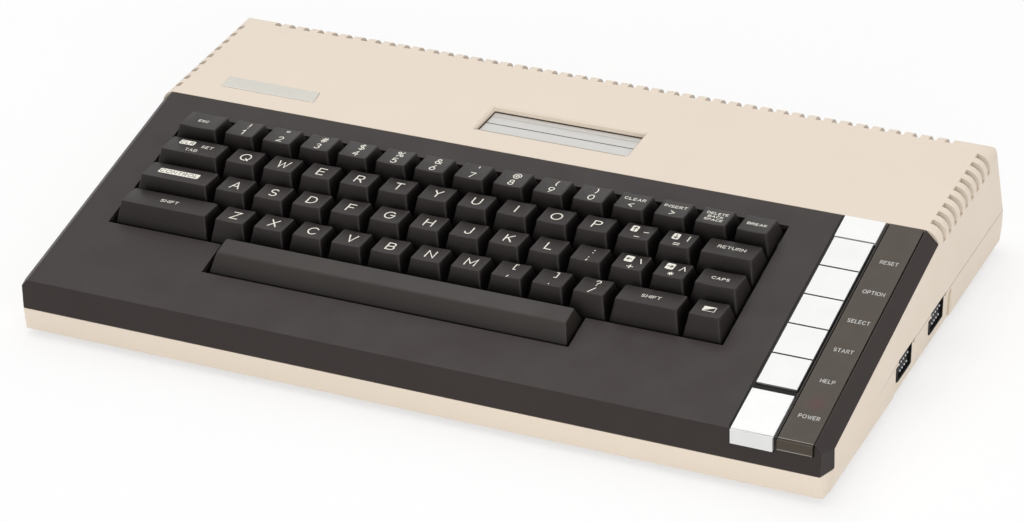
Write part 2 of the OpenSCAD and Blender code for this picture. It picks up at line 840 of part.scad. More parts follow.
// Tapered block of a cap, thinned by g on its sides and by t on its top
module cap_block(units, row, rise, g, t) {
    w = (units * key_pitch) / 2 - cap_margin - g;
    front = cap_margin - row_pitch / 2 + g;
    back = row_pitch / 2 - cap_margin - g;
    top = rise - t;
    k = top / rise;
    intersection() {
        across(units * key_pitch) polygon([[front - skirt_extra, -cap_skirt], [front, 0],
            [front + key_front_run * k, top], [back - back_lean(row) * k, top], [back, 0],
            [back + skirt_extra, -cap_skirt]]);
        backwards(-row_pitch, row_pitch) polygon([[-w - skirt_extra, -cap_skirt], [-w, 0],
            [key_lean * k - w, top], [w - key_lean * k, top], [w, 0], [w + skirt_extra, -cap_skirt]]);
    }
}

module cap(units, row) {
    difference() {
        cap_block(units, row, key_rise, 0, 0);
        translate([0, 0, -skin]) cap_block(units, row, key_rise, cap_wall, top_wall + dish);
        translate([0, key_front_run / 2, key_rise + dish_r - dish]) rotate([90, 0, 0])
            cylinder(r = dish_r, h = 40, center = true, $fn = 96);
    }
    translate([0, 0, -stem_drop]) cylinder(d = stem_d, h = stem_drop + key_rise - top_wall - dish);
}

module single_key(name) {
    k = KEYS[search([name], KEYS)[0]];
    color(cap_colour) place() on_deck() translate(key_centre(k[1], k[2], k[3])) cap(k[3], k[1]);
}

module plain_row(row) {
    color(cap_colour) place() on_deck() for (i = [0:plain_count - 1])
        translate(key_centre(row, PLAIN_START[row - 1] + i, 1)) cap(1, row);
}

module key_escape() { single_key("key_escape"); }
module key_clear() { single_key("key_clear"); }
module key_insert() { single_key("key_insert"); }
module key_delete() { single_key("key_delete"); }
module key_break() { single_key("key_break"); }
module key_tab() { single_key("key_tab"); }
module key_minus() { single_key("key_minus"); }
module key_equals() { single_key("key_equals"); }
module key_return() { single_key("key_return"); }
module key_control() { single_key("key_control"); }
module key_plus() { single_key("key_plus"); }
module key_asterisk() { single_key("key_asterisk"); }
module key_caps() { single_key("key_caps"); }
module key_shift_left() { single_key("key_shift_left"); }
module key_shift_right() { single_key("key_shift_right"); }
module key_inverse() { single_key("key_inverse"); }
module keycaps_number_row() { plain_row(1); }
module keycaps_upper_row() { plain_row(2); }
module keycaps_home_row() { plain_row(3); }
module keycaps_lower_row() { plain_row(4); }

// Space bar with a rounded front ridge and three stems
module space_bar() {
    color(cap_colour) place() on_deck() translate([space_x, space_y, 0]) {
        difference() {
            intersection() {
                cap_block(space_units, 2, space_rise, 0, 0);
                across(3 * case_w) space_profile();
            }
            translate([0, 0, -skin]) cap_block(space_units, 2, space_rise, cap_wall, top_wall + 0.6);
        }
        for (i = [-1:1]) translate([i * space_stem_spread * space_units * key_pitch, 0, -stem_drop])
            cylinder(d = stem_d, h = stem_drop + space_rise - top_wall - 0.5);
    }
}

module space_profile() {
    ridge = cap_margin - row_pitch / 2 + key_front_run + space_round * 0.8;
    translate([ridge, space_rise - space_round]) circle(space_round);
    polygon([[-row_pitch, -5], [-row_pitch, space_rise - space_round - 1.2],
             [ridge - space_round * 0.9, space_rise - space_round * 0.6], [ridge, space_rise],
             [row_pitch, space_rise], [row_pitch, -5]]);
}

// ---- Keyboard frame ---------------------------------------------------------------------------------------

// Places of all the key stems
STEMS = concat(
    [for (k = KEYS) key_centre(k[1], k[2], k[3])],
    [for (row = [1:4], i = [0:plain_count - 1]) key_centre(row, PLAIN_START[row - 1] + i, 1)],
    [for (i = [-1:1]) [space_x + i * space_stem_spread * space_units * key_pitch, space_y, 0]]);

module switch_plate() {
    color("#9c9fa1") place() on_deck() {
        block([plate_x0, plate_y0, -plate_drop - plate_t], [plate_x1, plate_y1, -plate_drop]);
        // Folded edges at the front and the back
        for (y = [plate_y0, plate_y1 - plate_t])
            block([plate_x0, y, -plate_drop - 5], [plate_x1, y + plate_t, -plate_drop]);
    }
}

module key_switches() {
    color("#26262a") place() on_deck() for (s = STEMS) translate(s) difference() {
        union() {
            block([-switch_w / 2, -switch_w / 2, -plate_drop],
                  [switch_w / 2, switch_w / 2, switch_body - plate_drop]);
            block([-turret_w / 2, -turret_w / 2, -plate_drop], [turret_w / 2, turret_w / 2, turret_rise]);
        }
        translate([0, 0, 0.2 - plate_drop]) cylinder(d = stem_d + 2 * stem_clear, h = 20);
    }
}

module keyboard_circuit() {
    color("#3f6b45") place() on_deck() {
        y0 = plate_y0 + plate_t + 0.5;
        y1 = plate_y1 - plate_t - 0.5;
        top = -plate_drop - plate_t;
        block([plate_x0 + 2, y0, top - board_t], [plate_x1 - 2, y1, top]);
        block([ribbon_x, ribbon_s - 3, top - board_t - 3],
              [ribbon_x + ribbon_w + 4, ribbon_s + 3, top - board_t]);
    }
}

ribbon_x = board_x(0.765);
ribbon_w = 34;
ribbon_s = board_front + 5;
ribbon_t = 0.8;
header_y = board_front + 5.5;
header_h = 5;

// Flat cable from the keyboard circuit's header down to the main board's header
module ribbon_cable() {
    low = board_top + header_h;
    head_drop = plate_drop + plate_t + board_t + 3;
    high_y = deck_setback + ribbon_s * cos(deck_tilt) + head_drop * sin(deck_tilt);
    high_z = deck_front_h + ribbon_s * sin(deck_tilt) - head_drop * cos(deck_tilt);
    mid_z = (low + high_z) / 2;
    lean = header_y - 7;
    rise = ribbon_t / 2 * tan(deck_tilt);
    color("#b9b4aa") place() translate([ribbon_x + 2 + ribbon_w / 2, 0, 0]) across(ribbon_w) polygon([
        [header_y - ribbon_t / 2, low], [header_y + ribbon_t / 2, low], [header_y + ribbon_t / 2, low + 3],
        [lean + ribbon_t, mid_z], [high_y + ribbon_t / 2, high_z - 3],
        [high_y + ribbon_t / 2, high_z + rise - skin], [high_y - ribbon_t / 2, high_z - rise - skin],
        [high_y - ribbon_t / 2, high_z - 3], [lean, mid_z],
        [header_y - ribbon_t / 2, low + 3]]);
}

// ---- Cartridge slot -------------------------------------------------------------------------------------------

module door_leaf(side) {
    color("#c4c6c4") place() difference() {
        union() {
            hinge_line(side) for (k = KNUCKLES) translate([0, 0, k * (leaf_w - knuckle_len)])
                cylinder(r = knuckle_r, h = knuckle_len, center = true);
            translate([well_x, well_y + side * (well_d / 2 - hinge_in), well_z - door_drop])
                mirror([0, side > 0 ? 1 : 0, 0]) block([-leaf_w / 2, 0, -door_t], [leaf_w / 2, leaf_d, 0]);
        }
        hinge_line(side) cylinder(r = pin_d / 2 + pin_clear, h = case_w, center = true);
        // Notches for the springs
        hinge_line(side) for (k = SPRINGS) translate([0, 0, k * (leaf_w - knuckle_len)])
            cylinder(r = knuckle_r + 0.3, h = 2 * spring_wire * (spring_turns + 2), center = true);
    }
}

module cartridge_door_front() { door_leaf(-1); }
module cartridge_door_rear() { door_leaf(1); }

module door_pins() {
    color("#8d8f90") place() for (side = [-1, 1]) hinge_line(side)
        cylinder(d = pin_d, h = well_w + 2 * pin_seat, center = true);
}

// Coil springs on the hinge pins, one ring for each turn
module door_springs() {
    r = pin_d / 2 + 0.05 + spring_wire;
    color("#7c7e80") place() for (side = [-1, 1], k = SPRINGS) hinge_line(side)
        translate([0, 0, k * (leaf_w - knuckle_len)]) for (i = [0:spring_turns - 1])
            translate([0, 0, (i - (spring_turns - 1) / 2) * spring_wire * 1.98])
                rotate_extrude($fn = 32) translate([r, 0]) circle(spring_wire, $fn = 16);
}

module cartridge_connector() {
    color("#23282c") place() translate([well_x, well_y, 0]) difference() {
        union() {
            block([-well_w / 2 + 1, -5.5, board_top], [well_w / 2 - 1, 5.5, well_low - 2]);
            block([-well_w / 2 - 4, -7, board_top], [well_w / 2 + 4, 7, board_top + 4]);
        }
        block([-well_w / 2 + 5, -1.4, board_top + 8], [well_w / 2 - 5, 1.4, well_low]);
    }
}

// ---- Main board --------------------------------------------------------------------------------------------------

module main_board() {
    color("#3f6b45") place() difference() {
        union() {
            block([board_x0, board_front, board_h], [board_x1, board_back, board_top]);
            // Contact tongue behind the parallel bus opening
            block([bus_x - bus_w / 2 + 4, board_back - 1, board_h],
                  [bus_x + bus_w / 2 - 4, board_back + 1.5, board_top]);
        }
        for (p = POSTS) translate([p.x, p.y, 0]) cylinder(d = 3.2, h = 30);
    }
}

// Dual in-line packages: middle of each as shares of the board, its length and its width
CHIPS = [[0.139, 0.22, 52, 14], [0.319, 0.22, 52, 14], [0.512, 0.22, 52, 14],
         [0.705, 0.22, 52, 14], [0.133, 0.39, 36, 14], [0.265, 0.39, 36, 14], [0.398, 0.39, 20, 7],
         [0.476, 0.39, 20, 7], [0.554, 0.39, 20, 7], [0.633, 0.39, 20, 7], [0.711, 0.39, 20, 7],
         [0.789, 0.39, 20, 7], [0.157, 0.56, 36, 14], [0.295, 0.56, 36, 14], [0.711, 0.56, 36, 14],
         [0.843, 0.56, 36, 14], [0.157, 0.73, 20, 7], [0.247, 0.73, 20, 7], [0.699, 0.73, 20, 7],
         [0.789, 0.73, 20, 7]];
chip_h = 4;

module board_chips() {
    color("#1f1f21") place() for (c = CHIPS) translate([board_x(c[0]), board_y(c[1]), board_top])
        difference() {
            block([-c[2] / 2, -c[3] / 2, 0], [c[2] / 2, c[3] / 2, chip_h]);
            translate([-c[2] / 2, 0, chip_h]) cylinder(r = 1.2, h = 1, center = true, $fn = 24);
        }
}

// Capacitors beside the power input, crystal can, and the header of the keyboard cable
CAPACITORS = [[-1, 6.2, 0.93, 10, 14], [-1, 20, 0.93, 8, 12], [-1, 6.2, 0.80, 6.3, 9],
              [1, 24, 0.20, 8, 12], [1, 24, 0.33, 6.3, 9], [1, 22, 0.85, 8, 12]];

module board_parts() {
    color("#2d3a56") place() {
        for (c = CAPACITORS)
            translate([shield_mid + c[0] * (shield_x - c[1]), shield_y0 + c[2] * shield_d, board_top])
                cylinder(d = c[3], h = c[4]);
        translate([board_x(0.48), board_y(0.29), board_top]) block([-5.5, -2.2, 0], [5.5, 2.2, 3.5]);
        block([ribbon_x, header_y - 3, board_top],
              [ribbon_x + ribbon_w + 4, header_y + 3, board_top + header_h]);
    }
}

// Pressed sheet lid over the board, with a window for the cartridge connector
module upper_shield() {
    z1 = board_top + shield_rise;
    color("#b3b5b4") place() difference() {
        block([shield_mid - shield_x, shield_y0, board_top], [shield_mid + shield_x, shield_y1, z1]);
        block([shield_mid - shield_x + shield_t, shield_y0 + shield_t, board_top - 1],
              [shield_mid + shield_x - shield_t, shield_y1 - shield_t, z1 - shield_t]);
        block([well_x - window_w / 2, window_y0, board_top + 5], [well_x + window_w / 2, window_y1, z1 + 1]);
        for (i = [-9:9], y = [shield_y0 + 14, shield_y0 + 34]) translate([shield_mid + i * 14, y, z1])
            cylinder(d = 5, h = 4, center = true);
    }
}

module lower_shield() {
    color("#b3b5b4") place() difference() {
        block([shield_mid - shield_x, shield_y0, board_h - shield_t],
              [shield_mid + shield_x, shield_y1, board_h]);
        for (p = POSTS) translate([p.x, p.y, 0]) cylinder(d = post_d + 1, h = 30);
        for (i = [-9:9], y = [shield_y0 + 14, shield_y1 - 14]) translate([shield_mid + i * 14, y, 0])
            cylinder(d = 5, h = 20);
    }
}

// ---- Connectors -----------------------------------------------------------------------------------------------------

// Nine-pin plug behind each controller port opening
module controller_ports() {
    color("#1d1d1f") place() for (i = [0, 1]) translate([port_face, port_y + i * port_pitch, socket_h]) {
        block([-12, -15, board_top - socket_h], [-2, 15, 6]);
        block([-2, -15.4, -6], [0, 15.4, 6]);
        rotate([90, 0, 90]) difference() {
            linear_extrude(4.6) d_outline(17.8, 9.4);
            translate([0, 0, 0.6]) linear_extrude(5) d_outline(16.6, 8.2);
        }
        for (p = [0:8]) rotate([90, 0, 90]) translate(port_pin(p)) cylinder(d = 1, h = 3.4, $fn = 16);
    }
}

function port_pin(p) = p < 5 ? [(p - 2) * 2.76, 1.42, 0] : [(p - 6.5) * 2.76, -1.42, 0];

// Thirteen-pin port on the rear
module peripheral_port() {
    color("#1d1d1f") place() translate([peripheral_x, socket_face - 2, socket_h]) {
        block([-20, -14, board_top - socket_h], [20, 0, 7]);
        rotate([-90, 0, 0]) difference() {
            linear_extrude(4.4) mirror([0, 1, 0]) d_outline(31, 9.6);
            translate([0, 0, 0.6]) linear_extrude(5) mirror([0, 1, 0]) d_outline(29.6, 8.2);
        }
        for (p = [0:12]) translate([(p % 7 - (p < 7 ? 3 : 2.5)) * 3.9, 0, p < 7 ? 1.6 : -1.6])
            rotate([-90, 0, 0]) cylinder(d = 1.2, h = 3, $fn = 16);
    }
}

// Round socket with its contact holes on an arc
module din_socket(x, holes) {
    color("#2a2a2c") place() translate([x, socket_face, socket_h]) difference() {
        union() {
            block([-9, -16, board_top - socket_h], [9, -1.5, 8]);
            rotate([90, 0, 0]) cylinder(d = din_d - 0.8, h = 3);
        }
        rotate([90, 0, 0]) {
            difference() {
                translate([0, 0, -1]) cylinder(d = 13.6, h = 3);
                cylinder(d = 11.6, h = 4);
            }
            for (i = [0:holes - 1]) rotate([0, 0, i * 180 / (holes - 1)]) translate([3.4, 0, -1])
                cylinder(d = 1.5, h = 5, $fn = 16);
        }
    }
}

module video_socket() { din_socket(video_x, 5); }
module power_socket() { din_socket(power_x, 7); }

// Screened modulator box with the aerial socket
module rf_modulator() {
    color("#a9abab") place() difference() {
        union() {
            block([rf_x - 19, board_back - 24, board_top], [rf_x + 15, board_back + 0.6, board_top + 15]);
            translate([rf_x, board_back + 0.4, socket_h]) rotate([-90, 0, 0])
                cylinder(d = rf_d, h = case_d - board_back - 0.4 - aerial_in);
        }
        translate([rf_x, board_back, socket_h]) rotate([-90, 0, 0]) cylinder(d = 3.4, h = 20);
    }
}

module channel_switch_frame() {
    color("#26262a") place() translate([slider_x, board_back, socket_h]) difference() {
        block([-7.5, -7, board_top - socket_h], [7.5, 4.6, 4]);
        block([-4.4, -2, -1.5], [4.4, 9, 1.5]);
    }
}

module channel_slider() {
    color("#e4e2dc") place() translate([slider_x - slide_travel / 2, board_back, socket_h])
        block([-1.9, -1.6, -1.2], [1.9, case_d - board_back - aerial_in, 1.2]);
}

module power_switch_frame() {
    w = rocker_w / 2;
    h = rocker_h / 2;
    color("#1f1f21") place() translate([switch_x, case_d - rocker_in, switch_h]) difference() {
        union() {
            block([-w - frame_t, -11, -h - frame_t], [w + frame_t, rocker_in - 2.4, h + frame_t]);
            block([-w - 4, -12, -h - frame_t], [w + 4, 1, h + frame_t]);
            block([-w + 2, -12, board_top - switch_h], [w - 2, -3, -h]);
        }
        block([-w + 0.4, -9, -h + 0.4], [w - 0.4, rocker_in, h - 0.4]);
        cylinder(d = rocker_pin, h = rocker_h + 1.2, center = true);
    }
}

// Rocker with its two stub pins; it stands tipped to one side at rest
module power_rocker() {
    w = rocker_w / 2 - 1.2;
    h = rocker_h / 2 - 0.7;
    color("#1a1a1b") place() translate([switch_x, case_d - rocker_in, switch_h])
        rotate([0, 0, rocker_swing / 2]) {
            linear_extrude(2 * h, center = true)
                polygon([[-w, 5.6], [0, 4.2], [w, 5.6], [w, 2.2], [2.6, -3], [-2.6, -3], [-w, 2.2]]);
            cylinder(d = rocker_pin - 2 * pin_clear, h = rocker_h + 0.8, center = true);
        }
}

// ---- Feet and fasteners --------------------------------------------------------------------------------------------------

module rubber_feet() {
    color("#33312f") place() for (f = FEET) translate([f.x, f.y, -foot_h]) {
        cylinder(d = foot_d, h = foot_h + foot_sink);
    }
}

module case_screws() {
    color("#8d8f90") place() for (s = SCREWS) translate([s.x, s.y, boss_top(s) - wall - 1]) difference() {
        union() {
            translate([0, 0, -screw_head_h]) cylinder(d = screw_head_d, h = screw_head_h);
            cylinder(d = screw_d - 0.1, h = wall + 1 + seam_gap + thread_len - 1);
        }
        for (a = [0, 90]) rotate([0, 0, a]) cube([3.6, 0.8, 2 * screw_head_h + 1.6], center = true);
    }
}

module board_screws() {
    color("#8d8f90") place() for (p = POSTS) translate([p.x, p.y, board_top]) {
        cylinder(d = 5, h = 1.6);
        translate([0, 0, -board_t - 2.5]) cylinder(d = 2.3, h = board_t + 2.6);
    }
}

// ---- Parts ------------------------------------------------------------------------------------------------------------------

bottom_case();
top_case();
keyboard_bezel();
label_strip();
console_plates();
badge_plate();
cartridge_door_front();
cartridge_door_rear();
door_pins();
door_springs();
cartridge_connector();
main_board();
board_chips();
board_parts();
upper_shield();
lower_shield();
rf_modulator();
controller_ports();
peripheral_port();
video_socket();
power_socket();
power_switch_frame();
power_rocker();
channel_switch_frame();
channel_slider();
switch_plate();
key_switches();
keyboard_circuit();
ribbon_cable();
console_switches();
power_lamp();
rubber_feet();
case_screws();
board_screws();
keycaps_number_row();
keycaps_upper_row();
keycaps_home_row();
keycaps_lower_row();
key_escape();
key_clear();
key_insert();
key_delete();
key_break();
key_tab();
key_minus();
key_equals();
key_return();
key_control();
key_plus();
key_asterisk();
key_caps();
key_shift_left();
key_shift_right();
key_inverse();
space_bar();
console_reset();
console_option();
console_select();
console_start();
console_help();
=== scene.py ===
"""Dresses the vintage home computer: finishes, softened casings, lettered keys and the studio around it.

Lengths are in millimetres unless a name says otherwise, and MM turns them into Blender's metres.
"""

from __future__ import annotations

import json
import logging
import math
from dataclasses import dataclass, field, replace
from enum import Enum
from typing import Callable, Iterable, Sequence

import bmesh
import bpy
from mathutils import Matrix, Vector

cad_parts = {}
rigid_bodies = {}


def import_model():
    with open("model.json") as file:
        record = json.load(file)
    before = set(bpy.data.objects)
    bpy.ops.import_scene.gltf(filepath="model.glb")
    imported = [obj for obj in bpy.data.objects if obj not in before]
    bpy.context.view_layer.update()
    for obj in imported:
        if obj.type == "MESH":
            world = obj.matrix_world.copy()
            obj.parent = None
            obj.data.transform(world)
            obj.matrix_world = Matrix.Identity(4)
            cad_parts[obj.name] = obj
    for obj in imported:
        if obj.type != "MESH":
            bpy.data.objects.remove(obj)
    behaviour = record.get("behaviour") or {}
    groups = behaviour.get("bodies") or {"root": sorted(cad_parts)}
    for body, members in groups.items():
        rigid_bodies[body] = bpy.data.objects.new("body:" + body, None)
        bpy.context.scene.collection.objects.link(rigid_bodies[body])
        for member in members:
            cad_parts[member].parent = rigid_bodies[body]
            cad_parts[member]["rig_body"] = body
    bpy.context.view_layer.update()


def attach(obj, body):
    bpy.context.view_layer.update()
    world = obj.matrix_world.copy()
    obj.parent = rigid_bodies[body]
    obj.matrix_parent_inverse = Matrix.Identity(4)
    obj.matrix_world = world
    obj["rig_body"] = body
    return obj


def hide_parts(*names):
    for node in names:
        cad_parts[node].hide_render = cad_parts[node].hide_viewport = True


Point = tuple[float, float]
Triple = tuple[float, float, float]
Colour = Triple
Socket = bpy.types.NodeSocket
Piece = bpy.types.Object
Surface = Callable[[float, float], float]

MM = 0.001
LAMP_PLACE = (175.4, -91.7, 32.8)
# Painted shade: colours laid into the deck's hollows and the gaps round the caps, and the open sky share over
# a cap where it fades out
DECK_RECESS_SHADE = (0.004, 0.0035, 0.003)
CAP_RECESS_SHADE = (0.003, 0.0024, 0.0022)
CAP_OPEN = (0.42, 1.0)
SILVER_BRUSH = (0.3, 0.45, 0.10, 0.004, (0.03, 1, 1), 0.05)
EVEN = (1, 1, 1)
LINES_X = (0.02, 1, 1)
SHARP_ANGLE = math.radians(35)
INK_LIFT = 0.03
log = logging.getLogger("computer")


# ---- Finishes ----


class NodeSheet:
    """A new material with one principled shader, and short ways to add and join nodes."""

    def __init__(self, name: str) -> None:
        """Makes the material.

        Args:
            name: the material's name.
        """
        self.material = bpy.data.materials.new(name)
        self.material.use_nodes = True
        self.nodes = self.material.node_tree.nodes
        self.links = self.material.node_tree.links
        self.shader = self.nodes["Principled BSDF"]
        self.output = self.nodes["Material Output"]
        self.coords = self.nodes.new("ShaderNodeTexCoord").outputs["Object"]

    def join(self, value: object, socket: Socket) -> None:
        """Joins an output to a socket, or sets the socket to a value.

        Args:
            value: the output or the value.
            socket: the socket.
        """
        if isinstance(value, Socket):
            self.links.new(value, socket)
        else:
            socket.default_value = value

    def fill(self, node: bpy.types.Node, sockets: dict[str, object]) -> bpy.types.Node:
        """Fills sockets of a node.

        Args:
            node: the node.
            sockets: a socket's name with underscores for spaces, and its value or the output to join to it.

        Returns:
            The node.
        """
        for label, value in sockets.items():
            self.join(value, node.inputs[label.replace("_", " ")])
        return node

    def add(self, kind: str, **sockets: object) -> bpy.types.Node:
        """Adds a node of a kind, and fills sockets of it as fill does."""
        return self.fill(self.nodes.new(kind), sockets)

    def set(self, **sockets: object) -> None:
        """Fills sockets of the principled shader as fill does."""
        self.fill(self.shader, sockets)

    def noise(self, size: float, detail: float = 2.0, stretch: Triple = (1, 1, 1)) -> Socket:
        """Noise whose spots are about size millimetres across.

        Args:
            size: width of the spots.
            detail: levels of finer noise.
            stretch: factors on the frequency along X, Y and Z.

        Returns:
            The noise's factor output.
        """
        mapping = self.add("ShaderNodeMapping", Vector=self.coords, Scale=tuple(stretch))
        scale = 1 / (size * MM)
        node = self.add("ShaderNodeTexNoise", Vector=mapping.outputs[0], Scale=scale, Detail=detail)
        return node.outputs[0]

    def spread(self, value: Socket, low: float = 0.0, high: float = 1.0) -> Socket:
        """Maps the middle of a noise's range onto low to high."""
        ends = {"From_Min": 0.3, "From_Max": 0.7, "To_Min": low, "To_Max": high}
        return self.add("ShaderNodeMapRange", Value=value, **ends).outputs[0]

    def cloud(self, size: float, detail: float = 2.0, stretch: Triple = (1, 1, 1)) -> Socket:
        """Noise, as noise gives it, spread from 0 to 1."""
        return self.spread(self.noise(size, detail, stretch))

    def mix(self, factor: object, first: object, second: object) -> Socket:
        """Mixes two colours.

        Args:
            factor: share of the second, as a number or an output.
            first: a colour or an output.
            second: a colour or an output.

        Returns:
            The mixed colour's output.
        """
        node = self.nodes.new("ShaderNodeMix")
        node.data_type = "RGBA"
        self.join(factor, node.inputs[0])
        for index, tone in ((6, first), (7, second)):
            self.join(tone if isinstance(tone, Socket) else (*tone, 1), node.inputs[index])
        return node.outputs[2]

    def tones(self, value: Socket, colour: Colour, darker: float, lighter: float) -> Socket:
        """Lets a colour drift with a noise between two factors on it."""
        return self.mix(value, shaded(colour, darker), shaded(colour, lighter))

    def paint_recess_shade(self, tone: Socket, recess_shade: Colour, reach: float, open_share: Point) -> Socket:
        """Paints shade where the surface is hemmed in, darker the less sky is open.

        Args:
            tone: colour of the surface without painted shade.
            recess_shade: colour of the painted shade.
            reach: how near another surface has to be, in millimetres.
            open_share: open share of the sky up to which the painted shade covers all, and from which there
                is none.

        Returns:
            The mixed colour's output.
        """
        open_sky = self.add("ShaderNodeAmbientOcclusion", Distance=reach * MM)
        open_sky.samples = 6
        low, high = open_share
        unshaded = self.add("ShaderNodeMapRange", Value=open_sky.outputs["AO"], From_Min=low, From_Max=high)
        return self.mix(unshaded.outputs[0], recess_shade, tone)

    def bump(self, height: Socket, depth: float, below: Socket | None = None) -> Socket:
        """Raises the surface by a height map.

        Args:
            height: the map, from 0 to 1.
            depth: height of its peaks in millimetres.
            below: a normal that this one adds to.

        Returns:
            The normal output.
        """
        node = self.add("ShaderNodeBump", Height=height, Distance=depth * MM, Strength=1.0)
        if below is not None:
            self.links.new(below, node.inputs["Normal"])
        return node.outputs[0]


def shaded(colour: Colour, factor: float) -> Colour:
    """The colour made lighter or darker by a factor."""
    return tuple(min(1.0, channel * factor) for channel in colour)


@dataclass(frozen=True)
class Look:
    """What the materials have in common: a name, a colour and a painted shader."""

    name: str
    colour: Colour

    def build(self) -> bpy.types.Material:
        """Makes the material.

        Returns:
            The new material.
        """
        sheet = NodeSheet(self.name)
        self.paint(sheet)
        return sheet.material

    def paint(self, sheet: NodeSheet) -> None:
        """Paints the shader of the new material, which each look does in its own way."""
        raise NotImplementedError


@dataclass(frozen=True)
class Moulding(Look):
    """Moulded plastic with a fine grain, slow drifts of tone and painted shade in its recesses."""

    drift: float = 0.05
    roughness: float = 0.5
    grain_size: float = 0.45
    grain_depth: float = 0.02
    recess_shade: Colour | None = None
    recess_shade_reach: float = 4.0
    specular: float = 0.5
    open_share: Point = (0.35, 0.8)
    cloud_size: float = 45.0
    fleck_size: float = 0.7
    fleck_drift: float = 1.4
    sheen_size: float = 18.0
    wave_size: float = 30.0
    wave_depth: float = 0.02

    def paint(self, sheet: NodeSheet) -> None:
        """Lays cloudy tones and flecks, then painted shade in the recesses, sheen, waves and grain.

        Args:
            sheet: the material's nodes.
        """
        tone = sheet.tones(sheet.cloud(self.cloud_size, 3), self.colour, 1 - self.drift, 1 + self.drift)
        fleck = sheet.mix(0.5, tone, shaded(self.colour, 1 + self.fleck_drift * self.drift))
        tone = sheet.mix(sheet.cloud(self.fleck_size, 1), tone, fleck)
        # Painted shade: the colour darkens where other surfaces hem this one in
        if self.recess_shade is not None:
            tone = sheet.paint_recess_shade(tone, self.recess_shade, self.recess_shade_reach, self.open_share)
        sheen = sheet.noise(self.sheen_size, 4)
        waves = sheet.bump(sheet.noise(self.wave_size, 1), self.wave_depth)
        sheet.set(
            Base_Color=tone,
            Roughness=sheet.spread(sheen, self.roughness - 0.05, self.roughness + 0.06),
            Normal=sheet.bump(sheet.noise(self.grain_size, 2), self.grain_depth, waves),
            Specular_IOR_Level=self.specular,
        )


@dataclass(frozen=True)
class BrushedMetal(Look):
    """Metal or metal-look plate with fine brush lines along one direction."""

    metallic: float = 1.0
    roughness: float = 0.35
    line_width: float = 0.12
    line_depth: float = 0.004
    stretch: Triple = (1, 0.02, 0.02)
    drift: float = 0.04
    recess_shade: Colour | None = None
    recess_shade_reach: float = 4.0
    open_share: Point = (0.35, 0.8)
    cloud_size: float = 9.0
    cloud_share: float = 0.6

    def paint(self, sheet: NodeSheet) -> None:
        """Lays the brush lines and clouds, then painted shade in the recesses.

        Args:
            sheet: the material's nodes.
        """
        lines = sheet.noise(self.line_width, 2, self.stretch)
        tone = sheet.tones(lines, self.colour, 1 - self.drift, 1 + self.drift)
        dull = sheet.mix(self.cloud_share, tone, shaded(self.colour, 1 - self.drift))
        tone = sheet.mix(sheet.cloud(self.cloud_size, 3), tone, dull)
        # Painted shade: the colour darkens where other surfaces hem this one in
        if self.recess_shade is not None:
            tone = sheet.paint_recess_shade(tone, self.recess_shade, self.recess_shade_reach, self.open_share)
        sheet.set(
            Base_Color=tone,
            Metallic=self.metallic,
            Roughness=sheet.spread(lines, self.roughness - 0.06, self.roughness + 0.08),
            Normal=sheet.bump(lines, self.line_depth),
        )


@dataclass(frozen=True)
class SmokedPlastic(Look):
    """Smoked see-through plastic that lets a little of what is under it show."""

    opacity: float = 0.82
    roughness: float = 0.32
    specular: float = 0.3
    lamp_tint: Colour = (0.1, 0.026, 0.032)
    lamp_place: Triple = (0, 0, 0)
    lamp_spread: float = 5.2
    lamp_core: float = 0.4
    lamp_share: float = 0.45

    def paint(self, sheet: NodeSheet) -> None:
        """Lays haze and scuffs, and the faint tint over the lamp.

        Args:
            sheet: the material's nodes.
        """
        haze = sheet.cloud(6, 4)
        scuff = sheet.cloud(1.2, 3, (0.25, 1, 1))
        reach = sheet.nodes.new("ShaderNodeVectorMath")
        reach.operation = "DISTANCE"
        sheet.join(sheet.coords, reach.inputs[0])
        sheet.join(tuple(v * MM for v in self.lamp_place), reach.inputs[1])
        far = self.lamp_spread * MM
        near = sheet.add(
            "ShaderNodeMapRange", Value=reach.outputs["Value"], From_Min=far, From_Max=far * self.lamp_core
        )
        tone = sheet.tones(haze, self.colour, 0.93, 1.08)
        sheet.set(
            Base_Color=sheet.mix(near.outputs[0], tone, sheet.mix(self.lamp_share, tone, self.lamp_tint)),
            Roughness=sheet.spread(haze, self.roughness - 0.04, self.roughness + 0.06),
            Normal=sheet.bump(scuff, 0.004),
            Specular_IOR_Level=self.specular,
            Alpha=self.opacity,
        )


@dataclass(frozen=True)
class Ink(Look):
    """Printed lettering with slightly uneven cover."""

    roughness: float = 0.55

    def paint(self, sheet: NodeSheet) -> None:
        """Lays the worn cover.

        Args:
            sheet: the material's nodes.
        """
        wear = sheet.cloud(0.9, 3)
        sheet.set(
            Base_Color=sheet.tones(wear, self.colour, 0.9, 1.0),
            Roughness=sheet.spread(wear, self.roughness - 0.05, self.roughness + 0.05),
            Normal=sheet.bump(wear, 0.003),
        )


@dataclass(frozen=True)
class SolderMask(Look):
    """Green circuit board with lighter tracks under its lacquer."""

    track: Colour
    track_scale: float = 120.0
    track_edge: Point = (0.72, 0.8)

    def paint(self, sheet: NodeSheet) -> None:
        """Lays the tracks.

        Args:
            sheet: the material's nodes.
        """
        wave = sheet.add(
            "ShaderNodeTexWave", Vector=sheet.coords, Scale=self.track_scale, Distortion=6.0, Detail=1.0
        )
        wave.bands_direction = "Y"
        low, high = self.track_edge
        edge = sheet.add("ShaderNodeMapRange", Value=wave.outputs["Fac"], From_Min=low, From_Max=high)
        sheet.set(
            Base_Color=sheet.mix(edge.outputs[0], self.colour, self.track),
            Roughness=sheet.spread(sheet.noise(5, 2), 0.28, 0.4),
            Normal=sheet.bump(edge.outputs[0], 0.03),
        )


